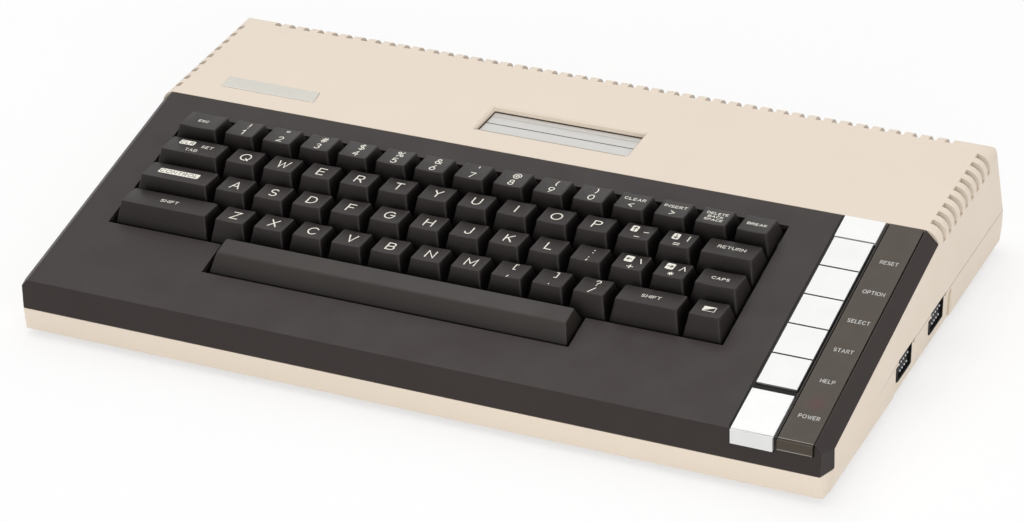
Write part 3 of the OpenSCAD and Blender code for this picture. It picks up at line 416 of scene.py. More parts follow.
@dataclass(frozen=True)
class LampLens(Look):
    """Red translucent lens of an unlit lamp."""

    depth_of_light: Triple = (0.002, 0.0006, 0.0005)

    def paint(self, sheet: NodeSheet) -> None:
        """Lays the cloudy red and lets light sink into it.

        Args:
            sheet: the material's nodes.
        """
        cloud = sheet.cloud(1.5, 2)
        sheet.set(
            Base_Color=sheet.tones(cloud, self.colour, 0.85, 1.15),
            Roughness=sheet.spread(cloud, 0.12, 0.2),
            Subsurface_Weight=0.3,
            Subsurface_Radius=self.depth_of_light,
        )


class Finish(Enum):
    """The finishes of the computer and the painted shade and highlights on it, each with the record's
    material slot that it stands for.
    """

    # Painted shade: the cream darkens to a tan grey in its vents, seams and other hollows
    CREAM = (
        Moulding("cream", (0.785, 0.68, 0.566), 0.018, 0.5, 0.5, 0.018, (0.42, 0.36, 0.27), 3.5),
        "cream_plastic",
    )
    LINING = (Moulding("cream_lining", (0.75, 0.65, 0.535), 0.018, 0.5, 0.5, 0.018), "cream_plastic")
    # Painted shade: a dark line on the top along the cartridge mouth's front lip
    LIP = (Moulding("lip_shade_line", (0.36, 0.32, 0.26), 0.03, 0.5, 0.5, 0.01), "cream_plastic")
    # Painted shadow: a dark band at the foot of the cartridge mouth, where the doors meet its walls
    SEAM = (
        Moulding("seam_shadow", (0.07, 0.05, 0.036), 0.05, 0.6, 0.5, 0.01, specular=0.1),
        "cream_plastic",
    )
    # Painted shade: the bezel darkens in its gaps and hollows
    DARK = (
        Moulding("dark_bezel", (0.027, 0.020, 0.018), 0.05, 0.5, 0.4, 0.02, DECK_RECESS_SHADE, 2.5, 0.27),
        "dark_plastic",
    )
    # Painted shade: the caps and the space bar darken on their sides and in the gaps between them
    KEY = (
        Moulding(
            "cap_plastic", (0.024, 0.0195, 0.018), 0.07, 0.42, 0.35, 0.02, CAP_RECESS_SHADE, 9.0, 0.2, CAP_OPEN
        ),
        "key_plastic",
    )
    SPACE = (
        Moulding(
            "space_plastic", (0.031, 0.0255, 0.023), 0.07, 0.42, 0.35, 0.015, CAP_RECESS_SHADE, 9.0, 0.27, CAP_OPEN
        ),
        "key_plastic",
    )
    LEGEND = (Ink("legend", (0.92, 0.89, 0.79)), "key_plastic")
    LEGEND_DARK = (Ink("legend_dark", (0.035, 0.032, 0.03)), "key_plastic")
    LABEL = (Ink("label", (0.70, 0.69, 0.66)), "smoked_plastic")
    SMOKED = (
        SmokedPlastic("smoked_strip", (0.066, 0.052, 0.038), 0.88, 0.42, lamp_place=LAMP_PLACE),
        "smoked_plastic",
    )
    # Painted highlight: a lighter smoked colour on the strip's roundings and along its fold and lip
    SMOKED_EDGE = (SmokedPlastic("smoked_highlight", (0.27, 0.25, 0.225), 0.95, 0.3), "smoked_plastic")
    # Painted shade: the silver caps darken to near black in the gaps round them
    SILVER = (
        BrushedMetal("silver_cap", (0.72, 0.72, 0.71), *SILVER_BRUSH, (0.03, 0.03, 0.03), 3.0),
        "silver_plate",
    )
    SHEET = (BrushedMetal("silver_sheet", (0.75, 0.75, 0.74), *SILVER_BRUSH), "silver_plate")
    PLATE = (BrushedMetal("blackened_plate", (0.03, 0.03, 0.032), 0.6, 0.5, 0.4, 0.004, EVEN), "shield_metal")
    BADGE = (BrushedMetal("badge_silver", (0.60, 0.58, 0.53), 0.9, 0.36, 0.1, 0.004, LINES_X), "silver_plate")
    DOOR = (BrushedMetal("door_brushed", (0.60, 0.59, 0.57), 0.6, 0.45, 0.2, 0.003, LINES_X), "door_metal")
    STEEL = (BrushedMetal("zinc_steel", (0.56, 0.55, 0.52), 1.0, 0.38, 0.3, 0.004, EVEN), "steel")
    TIN = (
        BrushedMetal("tinned_sheet", (0.62, 0.62, 0.60), 1.0, 0.40, 0.6, 0.006, (1, 1, 0.2)),
        "shield_metal",
    )
    CONTACT = (BrushedMetal("contact_pins", (0.5, 0.5, 0.52), 0.9, 0.35, 0.2, 0.002, EVEN), "steel")
    SHROUD = (
        Moulding("shroud_black", (0.006, 0.0055, 0.005), 0.08, 0.5, 0.3, 0.012, specular=0.15),
        "black_plastic",
    )
    BLACK = (Moulding("black_moulding", (0.018, 0.018, 0.018), 0.08, 0.5, 0.3, 0.015), "black_plastic")
    WHITE = (Moulding("white_slider", (0.72, 0.70, 0.64), 0.03, 0.4, 0.3, 0.01), "white_plastic")
    BOARD = (SolderMask("solder_mask", (0.02, 0.10, 0.035), (0.05, 0.2, 0.07)), "circuit_board")
    SLEEVE = (Moulding("component_sleeve", (0.03, 0.05, 0.13), 0.06, 0.3, 0.3, 0.006), "component_blue")
    CABLE = (Moulding("flat_cable", (0.40, 0.38, 0.34), 0.05, 0.45, 0.3, 0.01), "grey_cable")
    LAMP = (LampLens("lamp_lens", (0.24, 0.02, 0.015)), "red_lamp")
    RUBBER = (Moulding("foot_rubber", (0.022, 0.021, 0.02), 0.1, 0.75, 0.5, 0.03), "rubber")

    def material(self) -> bpy.types.Material:
        """The finish's material, built the first time it is asked for."""
        found = bpy.data.materials.get(self.value[0].name)
        return found or self.value[0].build()

    @property
    def slot(self) -> str:
        """Name of the record's material slot."""
        return self.value[1]


# ---- Working planes and mesh tools ----


@dataclass(frozen=True)
class Plane:
    """A flat working surface with X across, Y up its slope and Z out of it."""

    origin: Triple
    tilt: float = 0.0

    def matrix(self) -> Matrix:
        """Matrix from the plane's millimetres to the part's metres."""
        turn = Matrix.Rotation(math.radians(self.tilt), 4, "X")
        return Matrix.Scale(MM, 4) @ Matrix.Translation(self.origin) @ turn

    def at(self, x: float, y: float) -> Matrix:
        """Matrix of a smaller frame on the plane, with its origin at the given place."""
        return self.matrix() @ Matrix.Translation((x, y, 0.0))


@dataclass(frozen=True)
class Case:
    """Sizes of the casing that the other pieces are placed by."""

    depth: float = 232.3
    foot: float = 3.0
    deck_front: float = 24.7
    deck_setback: float = 1.4
    deck_tilt: float = 12.0
    deck_length: float = 138.3
    deck_half: float = 183.5
    top_tilt: float = 1.6

    @property
    def deck(self) -> Plane:
        """The sloping deck, from its front edge."""
        return Plane((0, self.deck_setback - self.depth / 2, self.deck_front + self.foot), self.deck_tilt)

    @property
    def top(self) -> Plane:
        """The top of the rear cover, from the seam behind the deck.

        Returns:
            The plane.
        """
        slope = math.radians(self.deck_tilt)
        seam_y = self.deck_setback + self.deck_length * math.cos(slope)
        seam_z = self.deck_front + self.deck_length * math.sin(slope)
        return Plane((0, seam_y - self.depth / 2, seam_z + self.foot), self.top_tilt)


def placed(name: str, data: bpy.types.ID) -> Piece:
    """Puts a new object into the scene.

    Args:
        name: the object's name.
        data: the mesh, light or camera that it is made of.

    Returns:
        The new object.
    """
    piece = bpy.data.objects.new(name, data)
    bpy.context.scene.collection.objects.link(piece)
    return piece


def settle(piece: Piece, slot: str, body: str = "case", node: str | None = None) -> None:
    """Hides the node that a new piece replaces, hangs the piece on its body, and logs it.

    Args:
        piece: the piece.
        slot: name of the record's material slot; not used.
        body: the body that carries it.
        node: the CAD node that it replaces, if it replaces one.
    """
    if node is not None:
        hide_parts(node)
    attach(piece, body)
    log.info("built %s", piece.name)


class MeshMaker:
    """Collects points and faces, and turns them into one object."""

    def __init__(self, *finishes: Finish) -> None:
        """Starts an empty mesh.

        Args:
            finishes: finishes that faces choose from by number.
        """
        self.finishes = finishes
        self.points: list[Triple] = []
        self.faces: list[tuple[list[int], int]] = []

    def ring(self, points: Iterable[Triple]) -> list[int]:
        """Adds points.

        Args:
            points: the points, in order.

        Returns:
            Their numbers.
        """
        start = len(self.points)
        self.points.extend(tuple(p) for p in points)
        return list(range(start, len(self.points)))

    def face(self, corners: Sequence[int], finish: int = 0) -> None:
        """Adds one face between numbered points."""
        self.faces.append((list(corners), finish))

    def quad(self, x0: float, x1: float, y0: float, y1: float, height: float, finish: int = 0) -> None:
        """Adds a level rectangle."""
        self.face(self.ring(((x0, y0, height), (x1, y0, height), (x1, y1, height), (x0, y1, height))), finish)

    def bridge(self, lower: list[int], upper: list[int], finish: int = 0, closed: bool = True) -> None:
        """Joins two rings of as many points with a band of faces.

        Args:
            lower: the first ring, counter-clockwise when seen from its far side.
            upper: the second ring.
            finish: number of the faces' finish.
            closed: whether the rings close on themselves.
        """
        count = len(lower)
        for i in range(count if closed else count - 1):
            j = (i + 1) % count
            self.face((lower[i], lower[j], upper[j], upper[i]), finish)

    def loft(self, rings: Sequence[list[int]], finish: int = 0) -> None:
        """Joins each ring to the next."""
        for lower, upper in zip(rings, rings[1:]):
            self.bridge(lower, upper, finish)

    def build(self, name: str, matrix: Matrix) -> Piece:
        """Makes the object.

        Args:
            name: the object's name.
            matrix: matrix from the maker's millimetres to the part's metres.

        Returns:
            The new object, at the origin, with its place in its mesh.
        """
        mesh = bpy.data.meshes.new(name)
        mesh.from_pydata([matrix @ Vector(p) for p in self.points], [], [f for f, _ in self.faces])
        for finish in self.finishes:
            mesh.materials.append(finish.material())
        mesh.polygons.foreach_set("material_index", [m for _, m in self.faces])
        mesh.shade_smooth()
        mesh.set_sharp_from_angle(angle=SHARP_ANGLE)
        mesh.update()
        return placed(name, mesh)


def rounded_rectangle(
    x0: float, x1: float, y0: float, y1: float, radius: float, steps: int = 5, across: int = 1, along: int = 1
) -> list[Point]:
    """Outline of a rectangle with round corners, counter-clockwise.

    Args:
        x0: left side.
        x1: right side.
        y0: front side.
        y1: back side.
        radius: radius of the corners.
        steps: pieces that each corner is made of.
        across: pieces that the front and back sides are made of.
        along: pieces that the left and right sides are made of.

    Returns:
        The outline's points.
    """
    radius = min(radius, (x1 - x0) / 2 - 1e-4, (y1 - y0) / 2 - 1e-4)
    centres = ((x1 - radius, y1 - radius, 0), (x0 + radius, y1 - radius, 90))
    centres += ((x0 + radius, y0 + radius, 180), (x1 - radius, y0 + radius, 270))
    arcs = []
    for cx, cy, start in centres:
        angles = [math.radians(start + 90 * i / steps) for i in range(steps + 1)]
        arcs.append([(cx + radius * math.cos(angle), cy + radius * math.sin(angle)) for angle in angles])
    outline = []
    for index, arc in enumerate(arcs):
        outline += arc
        (ax, ay), (bx, by) = arc[-1], arcs[(index + 1) % 4][0]
        pieces = across if index % 2 == 0 else along
        outline += [(ax + (bx - ax) * i / pieces, ay + (by - ay) * i / pieces) for i in range(1, pieces)]
    return outline


def softened(
    node: str,
    finish: Finish,
    radius: float,
    name: str,
    steps: int = 2,
    edge: Finish | None = None,
    set_in: Point = (0.0, 0.0),
    shift: float = 0.0,
) -> None:
    """Copies a CAD node with rounded edges, and lets the copy stand for the node.

    Args:
        node: the CAD node.
        finish: finish of the copy.
        radius: width of the rounding in millimetres.
        name: the copy's name.
        steps: pieces that each rounding is made of.
        edge: finish of the roundings, if it is another one.
        set_in: how much the copy is set in on its left and right sides, and at its front and back.
        shift: how far the copy stands to the right of its node.
    """
    source = bpy.data.objects[node]
    mesh = bpy.data.meshes.new(name)
    work = bmesh.new()
    work.from_mesh(source.data)
    bmesh.ops.remove_doubles(work, verts=work.verts, dist=1e-6)
    bmesh.ops.dissolve_limit(work, angle_limit=math.radians(1), verts=work.verts, edges=work.edges)
    work.to_mesh(mesh)
    work.free()
    for axis, inward in enumerate(set_in):
        places = [vertex.co[axis] for vertex in mesh.vertices]
        middle = (min(places) + max(places)) / 2
        for vertex in mesh.vertices:
            vertex.co[axis] -= math.copysign(inward * MM, vertex.co[axis] - middle)
    mesh.transform(Matrix.Translation((shift * MM, 0, 0)))
    mesh.materials.clear()
    mesh.materials.append(finish.material())
    mesh.shade_smooth()
    piece = placed(name, mesh)
    rounding = piece.modifiers.new("rounding", "BEVEL")
    rounding.width = radius * MM
    rounding.segments = steps
    rounding.limit_method = "ANGLE"
    rounding.angle_limit = math.radians(28)
    rounding.use_clamp_overlap = True
    if edge is not None:
        mesh.materials.append(edge.material())
        rounding.material = 1
    facing = piece.modifiers.new("facing", "WEIGHTED_NORMAL")
    facing.weight = 100
    facing.keep_sharp = True
    settle(piece, finish.slot, source["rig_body"], node)


def dress(finish: Finish, *nodes: str) -> None:
    """Gives CAD nodes that stay in view their finish.

    Args:
        finish: the finish.
        nodes: the nodes' names.
    """
    for node in nodes:
        materials = bpy.data.objects[node].data.materials
        materials.clear()
        materials.append(finish.material())
        log.info("dressed %s", node)


# ---- Lettering ----

# Nearer points of a stroke are one, and a stroke closes where its ends are nearer than the closing gap
NEAR = 1e-4
CLOSING_GAP = 1e-3
# How far a stroke runs past its ends, in half widths, and the least cosine at a mitred bend
STROKE_OVERRUN = 0.8
SHARPEST_MITRE = 0.45
# How far one step of an arc turns, in degrees
ARC_STEP = 18

# Strokes on a body one unit high: points "x,y", and arcs "@cx,cy,rx,ry,from,to" in degrees
GLYPHS: dict[str, str] = {
    "A": "0,0 .39,1 .78,0; .13,.34 .65,.34",
    "B": "0,0 0,1 .38,1 @.38,.755,.25,.245,90,-90 0,.51; .38,.51 @.4,.255,.28,.255,90,-90 0,0",
    "C": "@.43,.5,.43,.5,42,318",
    "D": "0,0 0,1 .3,1 @.3,.5,.44,.5,90,-90 0,0",
    "E": ".6,0 0,0 0,1 .6,1; 0,.52 .52,.52",
    "F": "0,0 0,1 .58,1; 0,.52 .5,.52",
    "G": "@.43,.5,.43,.5,42,360 .5,.5",
    "H": "0,0 0,1; .7,0 .7,1; 0,.52 .7,.52",
    "I": "0,0 0,1",
    "J": ".5,1 .5,.3 @.25,.27,.25,.27,0,-180",
    "K": "0,0 0,1; .64,1 0,.38; .2,.58 .66,0",
    "L": "0,1 0,0 .55,0",
    "M": "0,0 0,1 .42,.3 .84,1 .84,0",
    "N": "0,0 0,1 .7,0 .7,1",
    "O": "@.45,.5,.45,.5,0,360",
    "P": "0,0 0,1 .36,1 @.36,.73,.28,.27,90,-90 0,.46",
    "Q": "@.45,.5,.45,.5,0,360; .54,.3 .86,-.04",
    "R": "0,0 0,1 .36,1 @.36,.73,.28,.27,90,-90 0,.46; .34,.46 .66,0",
    "S": "@.31,.745,.29,.255,35,270 @.31,.245,.31,.245,90,-145",
    "T": "0,1 .68,1; .34,1 .34,0",
    "U": "0,1 0,.35 @.35,.35,.35,.35,180,360 .7,1",
    "V": "0,1 .37,0 .74,1",
    "W": "0,1 .25,0 .5,.85 .75,0 1,1",
    "X": "0,0 .68,1; 0,1 .7,0",
    "Y": "0,1 .35,.5 .7,1; .35,.5 .35,0",
    "Z": "0,1 .66,1 0,0 .66,0",
    "0": "@.32,.5,.32,.5,0,360",
    "1": "0,.78 .22,1 .22,0",
    "2": "@.29,.72,.28,.28,160,-32 0,0 .58,0",
    "3": "@.27,.75,.25,.25,150,-90 @.27,.25,.28,.25,90,-150",
    "4": ".45,0 .45,1 0,.32 .62,.32",
    "5": ".52,1 .1,1 .06,.56 @.28,.32,.3,.32,130,-150",
    "6": ".46,1 .06,.42 @.3,.3,.3,.3,155,-205",
    "7": "0,1 .58,1 .2,0",
    "8": "@.29,.76,.23,.24,0,360; @.29,.26,.29,.26,0,360",
    "9": "@.3,.7,.3,.3,0,360; .58,.6 .18,0",
    "!": "0,1 0,.34; 0,.07 0,0",
    '"': "0,1 0,.7; .24,1 .24,.7",
    "#": ".18,0 .3,1; .44,0 .56,1; 0,.34 .68,.34; .04,.68 .72,.68",
    "$": "@.31,.745,.29,.255,35,270 @.31,.245,.31,.245,90,-145; .31,1.12 .31,-.12",
    "%": "@.17,.8,.16,.18,0,360; @.63,.2,.16,.18,0,360; .72,1 .08,0",
    "&": ".76,0 .14,.7 @.33,.8,.19,.2,205,-50 .12,.46 @.3,.26,.28,.26,140,300 .74,.42",
    "'": "0,1 0,.7",
    "@": "@.45,.5,.17,.2,0,360; .62,.5 @.755,.5,.135,.2,180,360 @.45,.5,.44,.5,0,300",
    "(": "@.42,.5,.38,.62,128,232",
    ")": "@-.2,.5,.38,.62,52,-52",
    "-": "0,.45 .5,.45",
    "_": "0,.1 .62,.1",
    "=": "0,.33 .58,.33; 0,.62 .58,.62",
    "|": "0,-.05 0,1.05",
    "+": ".3,.18 .3,.78; 0,.48 .6,.48",
    "\\": "0,1 .4,0",
    "*": ".25,.2 .25,.8; 0,.35 .5,.65; 0,.65 .5,.35",
    "^": "0,.1 .36,1 .72,.1",
    "<": ".55,.85 0,.45 .55,.05",
    ">": "0,.85 .55,.45 0,.05",
    ",": ".08,.12 -.02,-.16",
    ".": "0,.06 0,0",
    "/": "0,0 .5,1",
    "?": "@.25,.74,.25,.26,165,-60 .25,.36 .25,.26; .25,.05 .25,0",
    "[": ".26,1 0,1 0,0 .26,0",
    "]": "0,1 .26,1 .26,0 0,0",
    ":": "0,.62 0,.56; 0,.1 0,.04",
    ";": "0,.62 0,.56; .04,.12 -.06,-.14",
    "up": ".3,.05 .3,.95; .05,.65 .3,.95 .55,.65",
    "down": ".3,.95 .3,.05; .05,.35 .3,.05 .55,.35",
    "left": ".75,.5 .05,.5; .32,.75 .05,.5 .32,.25",
    "right": "0,.5 .7,.5; .43,.75 .7,.5 .43,.25",
}


def glyph_strokes(glyph: str) -> list[list[Point]]:
    """Strokes of one glyph.

    Args:
        glyph: a key of GLYPHS.

    Returns:
        Each stroke as a list of points.
    """
    strokes = []
    for part in GLYPHS[glyph].split(";"):
        points: list[Point] = []
        for token in part.split():
            if not token.startswith("@"):
                x, y = (float(v) for v in token.split(","))
                points.append((x, y))
                continue
            cx, cy, rx, ry, start, stop = (float(v) for v in token[1:].split(","))
            steps = max(3, round(abs(stop - start) / ARC_STEP))
            for i in range(steps + 1):
                angle = math.radians(start + (stop - start) * i / steps)
                points.append((cx + rx * math.cos(angle), cy + ry * math.sin(angle)))
        strokes.append(points)
    return strokes

def stroke_edges(points: Sequence[Point], half: float) -> tuple[list[Point], list[Point], bool]:
    """Both edges of a stroke of constant width.

    Args:
        points: the stroke's middle line.
        half: half the stroke's width.

    Returns:
        The left edge, the right edge, and whether the stroke closes on itself.
    """
    line = [Vector(p) for p in points]
    line = [p for i, p in enumerate(line) if i == 0 or (p - line[i - 1]).length > NEAR]
    closed = (line[0] - line[-1]).length < CLOSING_GAP and len(line) > 3
    if closed:
        line.pop()
    else:
        line[0] = line[0] + (line[0] - line[1]).normalized() * half * STROKE_OVERRUN
        line[-1] = line[-1] + (line[-1] - line[-2]).normalized() * half * STROKE_OVERRUN
    left, right = [], []
    for i, p in enumerate(line):
        before = line[i - 1] if i or closed else None
        after = line[(i + 1) % len(line)] if i < len(line) - 1 or closed else None
        into = (p - before).normalized() if before is not None else (after - p).normalized()
        out = (after - p).normalized() if after is not None else into
        across = Vector((-into.y, into.x))
        side = Vector((-into.y - out.y, into.x + out.x))
        side = side.normalized() if side.length > NEAR else across
        reach = half / max(SHARPEST_MITRE, side.dot(across))
        left.append(tuple(p + side * reach))
        right.append(tuple(p - side * reach))
    return left, right, closed


@dataclass(frozen=True)
class Legend:
    """One word or mark, by its middle, its letter height and its stroke's width."""

    glyphs: tuple[str, ...]
    x: float = 0.0
    y: float = 0.0
    height: float = 4.5
    stroke: float = 0.5
    stretch: float = 1.0
    gap: float = 0.26
    boxed: bool = False
    box_margin: float = 0.55
    box_corner: float = 0.7

    def width(self) -> float:
        """Width of the whole word."""
        return sum(self._widths()) + self.gap * self.height * (len(self.glyphs) - 1)

    def _widths(self) -> list[float]:
        """Width of each glyph.

        Returns:
            The widths, in order.
        """
        sizes = []
        for glyph in self.glyphs:
            across = [x for stroke in glyph_strokes(glyph) for x, _ in stroke]
            sizes.append((max(across) - min(across)) * self.height * self.stretch)
        return sizes

    def draw(self, maker: MeshMaker, surface: Surface, ink: int = 0, dark: int = 0) -> None:
        """Lays the legend on a surface.

        Args:
            maker: the mesh that takes it.
            surface: height of the surface at a place.
            ink: number of the ink's finish.
            dark: number of the finish of letters inside a light box.
        """
        lift = INK_LIFT
        if self.boxed:
            half = self.width() / 2 + self.box_margin
            tall = self.height / 2 + self.box_margin
            sides = (self.x - half, self.x + half, self.y - tall, self.y + tall)
            outline = rounded_rectangle(*sides, self.box_corner, 4)
            rim = maker.ring((x, y, surface(x, y) + lift) for x, y in outline)
            middle = maker.ring([(self.x, self.y, surface(self.x, self.y) + lift)])[0]
            for i, corner in enumerate(rim):
                maker.face((corner, rim[(i + 1) % len(rim)], middle), ink)
            ink, lift = dark, lift * 2
        x = self.x - self.width() / 2
        for glyph, width in zip(self.glyphs, self._widths()):
            strokes = glyph_strokes(glyph)
            start = min(px for stroke in strokes for px, _ in stroke)
            for stroke in strokes:
                line = [
                    (x + (px - start) * self.height * self.stretch, self.y + (py - 0.5) * self.height)
                    for px, py in stroke
                ]
                *edges, closed = stroke_edges(line, self.stroke / 2)
                upper, lower = (maker.ring((a, b, surface(a, b) + lift) for a, b in edge) for edge in edges)
                maker.bridge(lower, upper, ink, closed)
            x += width + self.gap * self.height


def word(text: str, x: float = 0.0, y: float = 0.0, height: float = 1.9, boxed: bool = False) -> Legend:
    """A small wide word, as on the keys that carry names."""
    return Legend(tuple(text), x, y, height, 0.32, 1.1, 0.36, boxed, 0.75)


def mark(glyph: str, x: float = 0.0, y: float = 0.0, height: float = 2.6, boxed: bool = False) -> Legend:
    """A small mark, as on the keys that carry two or three."""
    return Legend((glyph,), x, y, height, 0.5, boxed=boxed, box_margin=0.75)


# ---- Keyboard ----


@dataclass(frozen=True)
class Key:
    """One key: its node, its row from the back, the unit it starts at, its width and its legends."""

    name: str
    row: int
    start: float
    units: float
    legends: tuple[Legend, ...]
    node: str
    body: str


@dataclass
class Keyboard:
    """The caps of the keyboard, lofted ring by ring and lettered."""

    case: Case = field(default_factory=Case)
    pitch: float = 19.05
    base: float = 17.2
    rise: float = 8.9
    rise_rear: float = 9.0
    top_width: float = 13.7
    front_run: float = 4.6
    front_run_rear: float = 3.5
    back_run: float = 0.1
    back_run_rear: float = 0.4
    ceiling_share: float = 0.78
    skirt: float = 1.5
    skirt_flare: float = 0.2
    wall: float = 1.3
    dish: float = 0.35
    dish_radius: float = 60.0
    edge: float = 0.42
    edge_turns: tuple[int, ...] = (0, 22, 45, 68, 90)
    side_shares: Triple = (0.0, 0.35, 0.7)
    corner: float = 1.0
    top_corner: float = 1.2
    edge_corner: float = 0.3
    inner_corner: float = 0.6
    dished_units: float = 1.3
    corner_steps: int = 4
    stem: float = 4.0
    stem_drop: float = 2.8
    stem_sink: float = 0.1
    keys_left: float = 18.6
    keys_front: float = 46.05
    space_units: float = 9.0
    space_left: float = 57.2
    space_rise: float = 7.0
    space_front_run: float = 5.4
    space_back_run: float = 1.9
    space_back_round: float = 0.6
    space_lean: float = 1.9
    space_ridge: float = 2.2
    space_ridge_share: float = 0.55
    space_end: float = 0.7
    space_end_narrow: float = 0.06
    space_end_drop: float = 0.35
    space_stems: Triple = (-0.36, 0, 0.36)
    facets: int = 10
    mark_half: Point = (2.8, 1.9)
    mark_border: float = 0.35
    mark_fill: Point = (0.94, 0.9)
    mark_unit: float = 14.75
    mark_row: int = 4

    def row_y(self, row: float) -> float:
        """Middle of a row of keys on the deck, counted from the back."""
        return self.keys_front + (4.5 - row) * self.pitch

    def unit_x(self, unit: float) -> float:
        """Place across the deck of a number of units from the left of the keys."""
        return self.keys_left - self.case.deck_half + unit * self.pitch

    def top_front(self, row: int) -> float:
        """Place of a top's front edge behind the middle of its key."""
        return (self.front_run_rear if row == 1 else self.front_run) - self.base / 2

    def top_back(self, row: int) -> float:
        """Place of a top's back edge behind the middle of its key."""
        return self.base / 2 - (self.back_run_rear if row == 1 else self.back_run)

    def top_middle(self, row: int) -> float:
        """How far a top's middle lies behind the middle of its key."""
        return (self.top_front(row) + self.top_back(row)) / 2

    def top_height(self, row: int, y: float) -> float:
        """Height of a top over the deck, which falls to the back so that the top lies level."""
        rise = self.rise_rear if row == 1 else self.rise
        return rise - (y - self.top_front(row)) * math.tan(math.radians(self.case.deck_tilt))

    def surface(self, units: float, row: int) -> Surface:
        """Height of a cap's top as a function of the place on it, with the finger dish of the narrow caps."""
        dish = self.dish if units <= self.dished_units else 0.0
        return lambda x, y: self.top_height(row, y) - max(0.0, dish - x * x / (2 * self.dish_radius))

    def outline(self, units: float, row: int, share: float, inset: float, radius: float) -> list[Triple]:
        """Points round a cap at a share of its height.

        Args:
            units: the key's width in units.
            row: the key's row.
            share: 0 at the deck, 1 at the top and -1 at the foot of the skirt.
            inset: how far the outline is set in.
            radius: radius of its corners.

        Returns:
            The points.
        """
        up = max(0.0, share)
        flare = self.skirt_flare * max(0.0, -share)
        lean = (self.pitch - self.base + up * (self.base - self.top_width)) / 2
        half = units * self.pitch / 2 - lean + flare - inset
        front = -self.base / 2 + up * (self.top_front(row) + self.base / 2) - flare + inset
        back = self.base / 2 - up * (self.base / 2 - self.top_back(row)) + flare - inset
        points = []
        top = self.surface(units, row)
        for x, y in rounded_rectangle(-half, half, front, back, radius, self.corner_steps, self.facets, 3):
            if share < 0:
                points.append((x, y, share * self.skirt))
                continue
            along = (y - front) / (back - front)
            y_top = self.top_front(row) + along * (self.top_back(row) - self.top_front(row))
            points.append((x, y, share * top(x, y_top)))
        return points

    def cap(self, key: Key) -> None:
        """Lofts one cap with its cavity, stem and legends.

        Args:
            key: the key.
        """
        maker = MeshMaker(Finish.KEY, Finish.LEGEND, Finish.LEGEND_DARK)
        units, row = key.units, key.row
        surface = self.surface(units, row)
        ceiling, foot = (
            maker.ring(self.outline(units, row, share, self.wall, self.inner_corner))
            for share in (self.ceiling_share, -1)
        )
        outer = [maker.ring(self.outline(units, row, -1, 0, self.corner))]
        for share in self.side_shares:
            radius = self.corner + (self.top_corner - self.corner) * share
            outer.append(maker.ring(self.outline(units, row, share, 0, radius)))
        for turn in self.edge_turns:
            angle = math.radians(turn)
            share = 1 - self.edge * (1 - math.sin(angle)) / self.rise
            inset = self.edge * (1 - math.cos(angle))
            points = self.outline(units, row, share, inset, self.top_corner - self.edge_corner)
            if turn == self.edge_turns[-1]:
                points = [(x, y, surface(x, y)) for x, y, _ in points]
            outer.append(maker.ring(points))
        maker.face(list(reversed(ceiling)))
        maker.loft([ceiling, foot, outer[0]])
        maker.loft(outer)
        self._dished_top(maker, outer[-1])
        self._stem(maker, 0.0, self.ceiling_share * self.top_height(row, -self.stem / 2))
        for legend in key.legends:
            replace(legend, y=legend.y + self.top_middle(row)).draw(maker, surface, 1, 2)
        piece = maker.build(key.name, self.case.deck.at(self.unit_x(key.start + units / 2), self.row_y(row)))
        settle(piece, Finish.KEY.slot, key.body, key.node)

    def _dished_top(self, maker: MeshMaker, rim: list[int]) -> None:
        """Fills a top with strips from its front edge to its back edge, so that it follows the dish.

        Args:
            maker: the mesh of the cap.
            rim: numbers of the points round the top.
        """
        chain = 2 * (self.corner_steps + 1) + self.facets - 1
        turn = len(rim) // 2
        back, front = rim[:chain], rim[turn : turn + chain]
        behind = back[::-1]
        for i in range(1, chain - 2):
            maker.face((front[i], front[i + 1], behind[i + 1], behind[i]))
        maker.face(rim[chain - 2 : turn + 2])
        maker.face(rim[turn + chain - 2 :] + rim[:2])

    def _stem(self, maker: MeshMaker, x: float, top: float) -> None:
        """Adds a stem that reaches down into the key switch.

        Args:
            maker: the mesh of the cap.
            x: its place across the cap.
            top: height of its upper end.
        """
        angles = [math.radians(30 * i) for i in range(12)]
        rounds = [(x + self.stem / 2 * math.cos(a), self.stem / 2 * math.sin(a)) for a in angles]
        ends = (-self.stem_drop, top + self.stem_sink)
        low, high = (maker.ring((a, b, z) for a, b in rounds) for z in ends)
        maker.bridge(low, high)
        maker.face(list(reversed(low)))
        maker.face(high)

    def space_bar(self) -> None:
        """Lofts the space bar along the case from its rounded profile."""
        maker = MeshMaker(Finish.SPACE)
        half = self.space_units * self.pitch / 2 - (self.pitch - self.base) / 2
        rings = []
        for x, shrink in (
            (-half, self.space_end),
            (-half + self.space_end, 0.0),
            (half - self.space_end, 0.0),
            (half, self.space_end),
        ):
            points = []
            for y, z in self._space_profile():
                rise = max(0.0, z) / self.space_rise
                inward = math.copysign(self.space_lean * rise, x)
                narrow = 1 - shrink * self.space_end_narrow
                points.append((x - inward, y * narrow, z - shrink * self.space_end_drop * rise))
            rings.append(maker.ring(points))
        maker.loft(rings)
        maker.face(list(reversed(rings[0])))
        maker.face(rings[-1])
        for place in self.space_stems:
            self._stem(maker, place * self.space_units * self.pitch, 1.0)
        x = self.unit_x(0) + self.space_left + self.space_units * self.pitch / 2
        piece = maker.build("space_bar_cap", self.case.deck.at(x, self.keys_front - self.pitch / 2))
        settle(piece, Finish.KEY.slot, "space_bar", "space_bar")

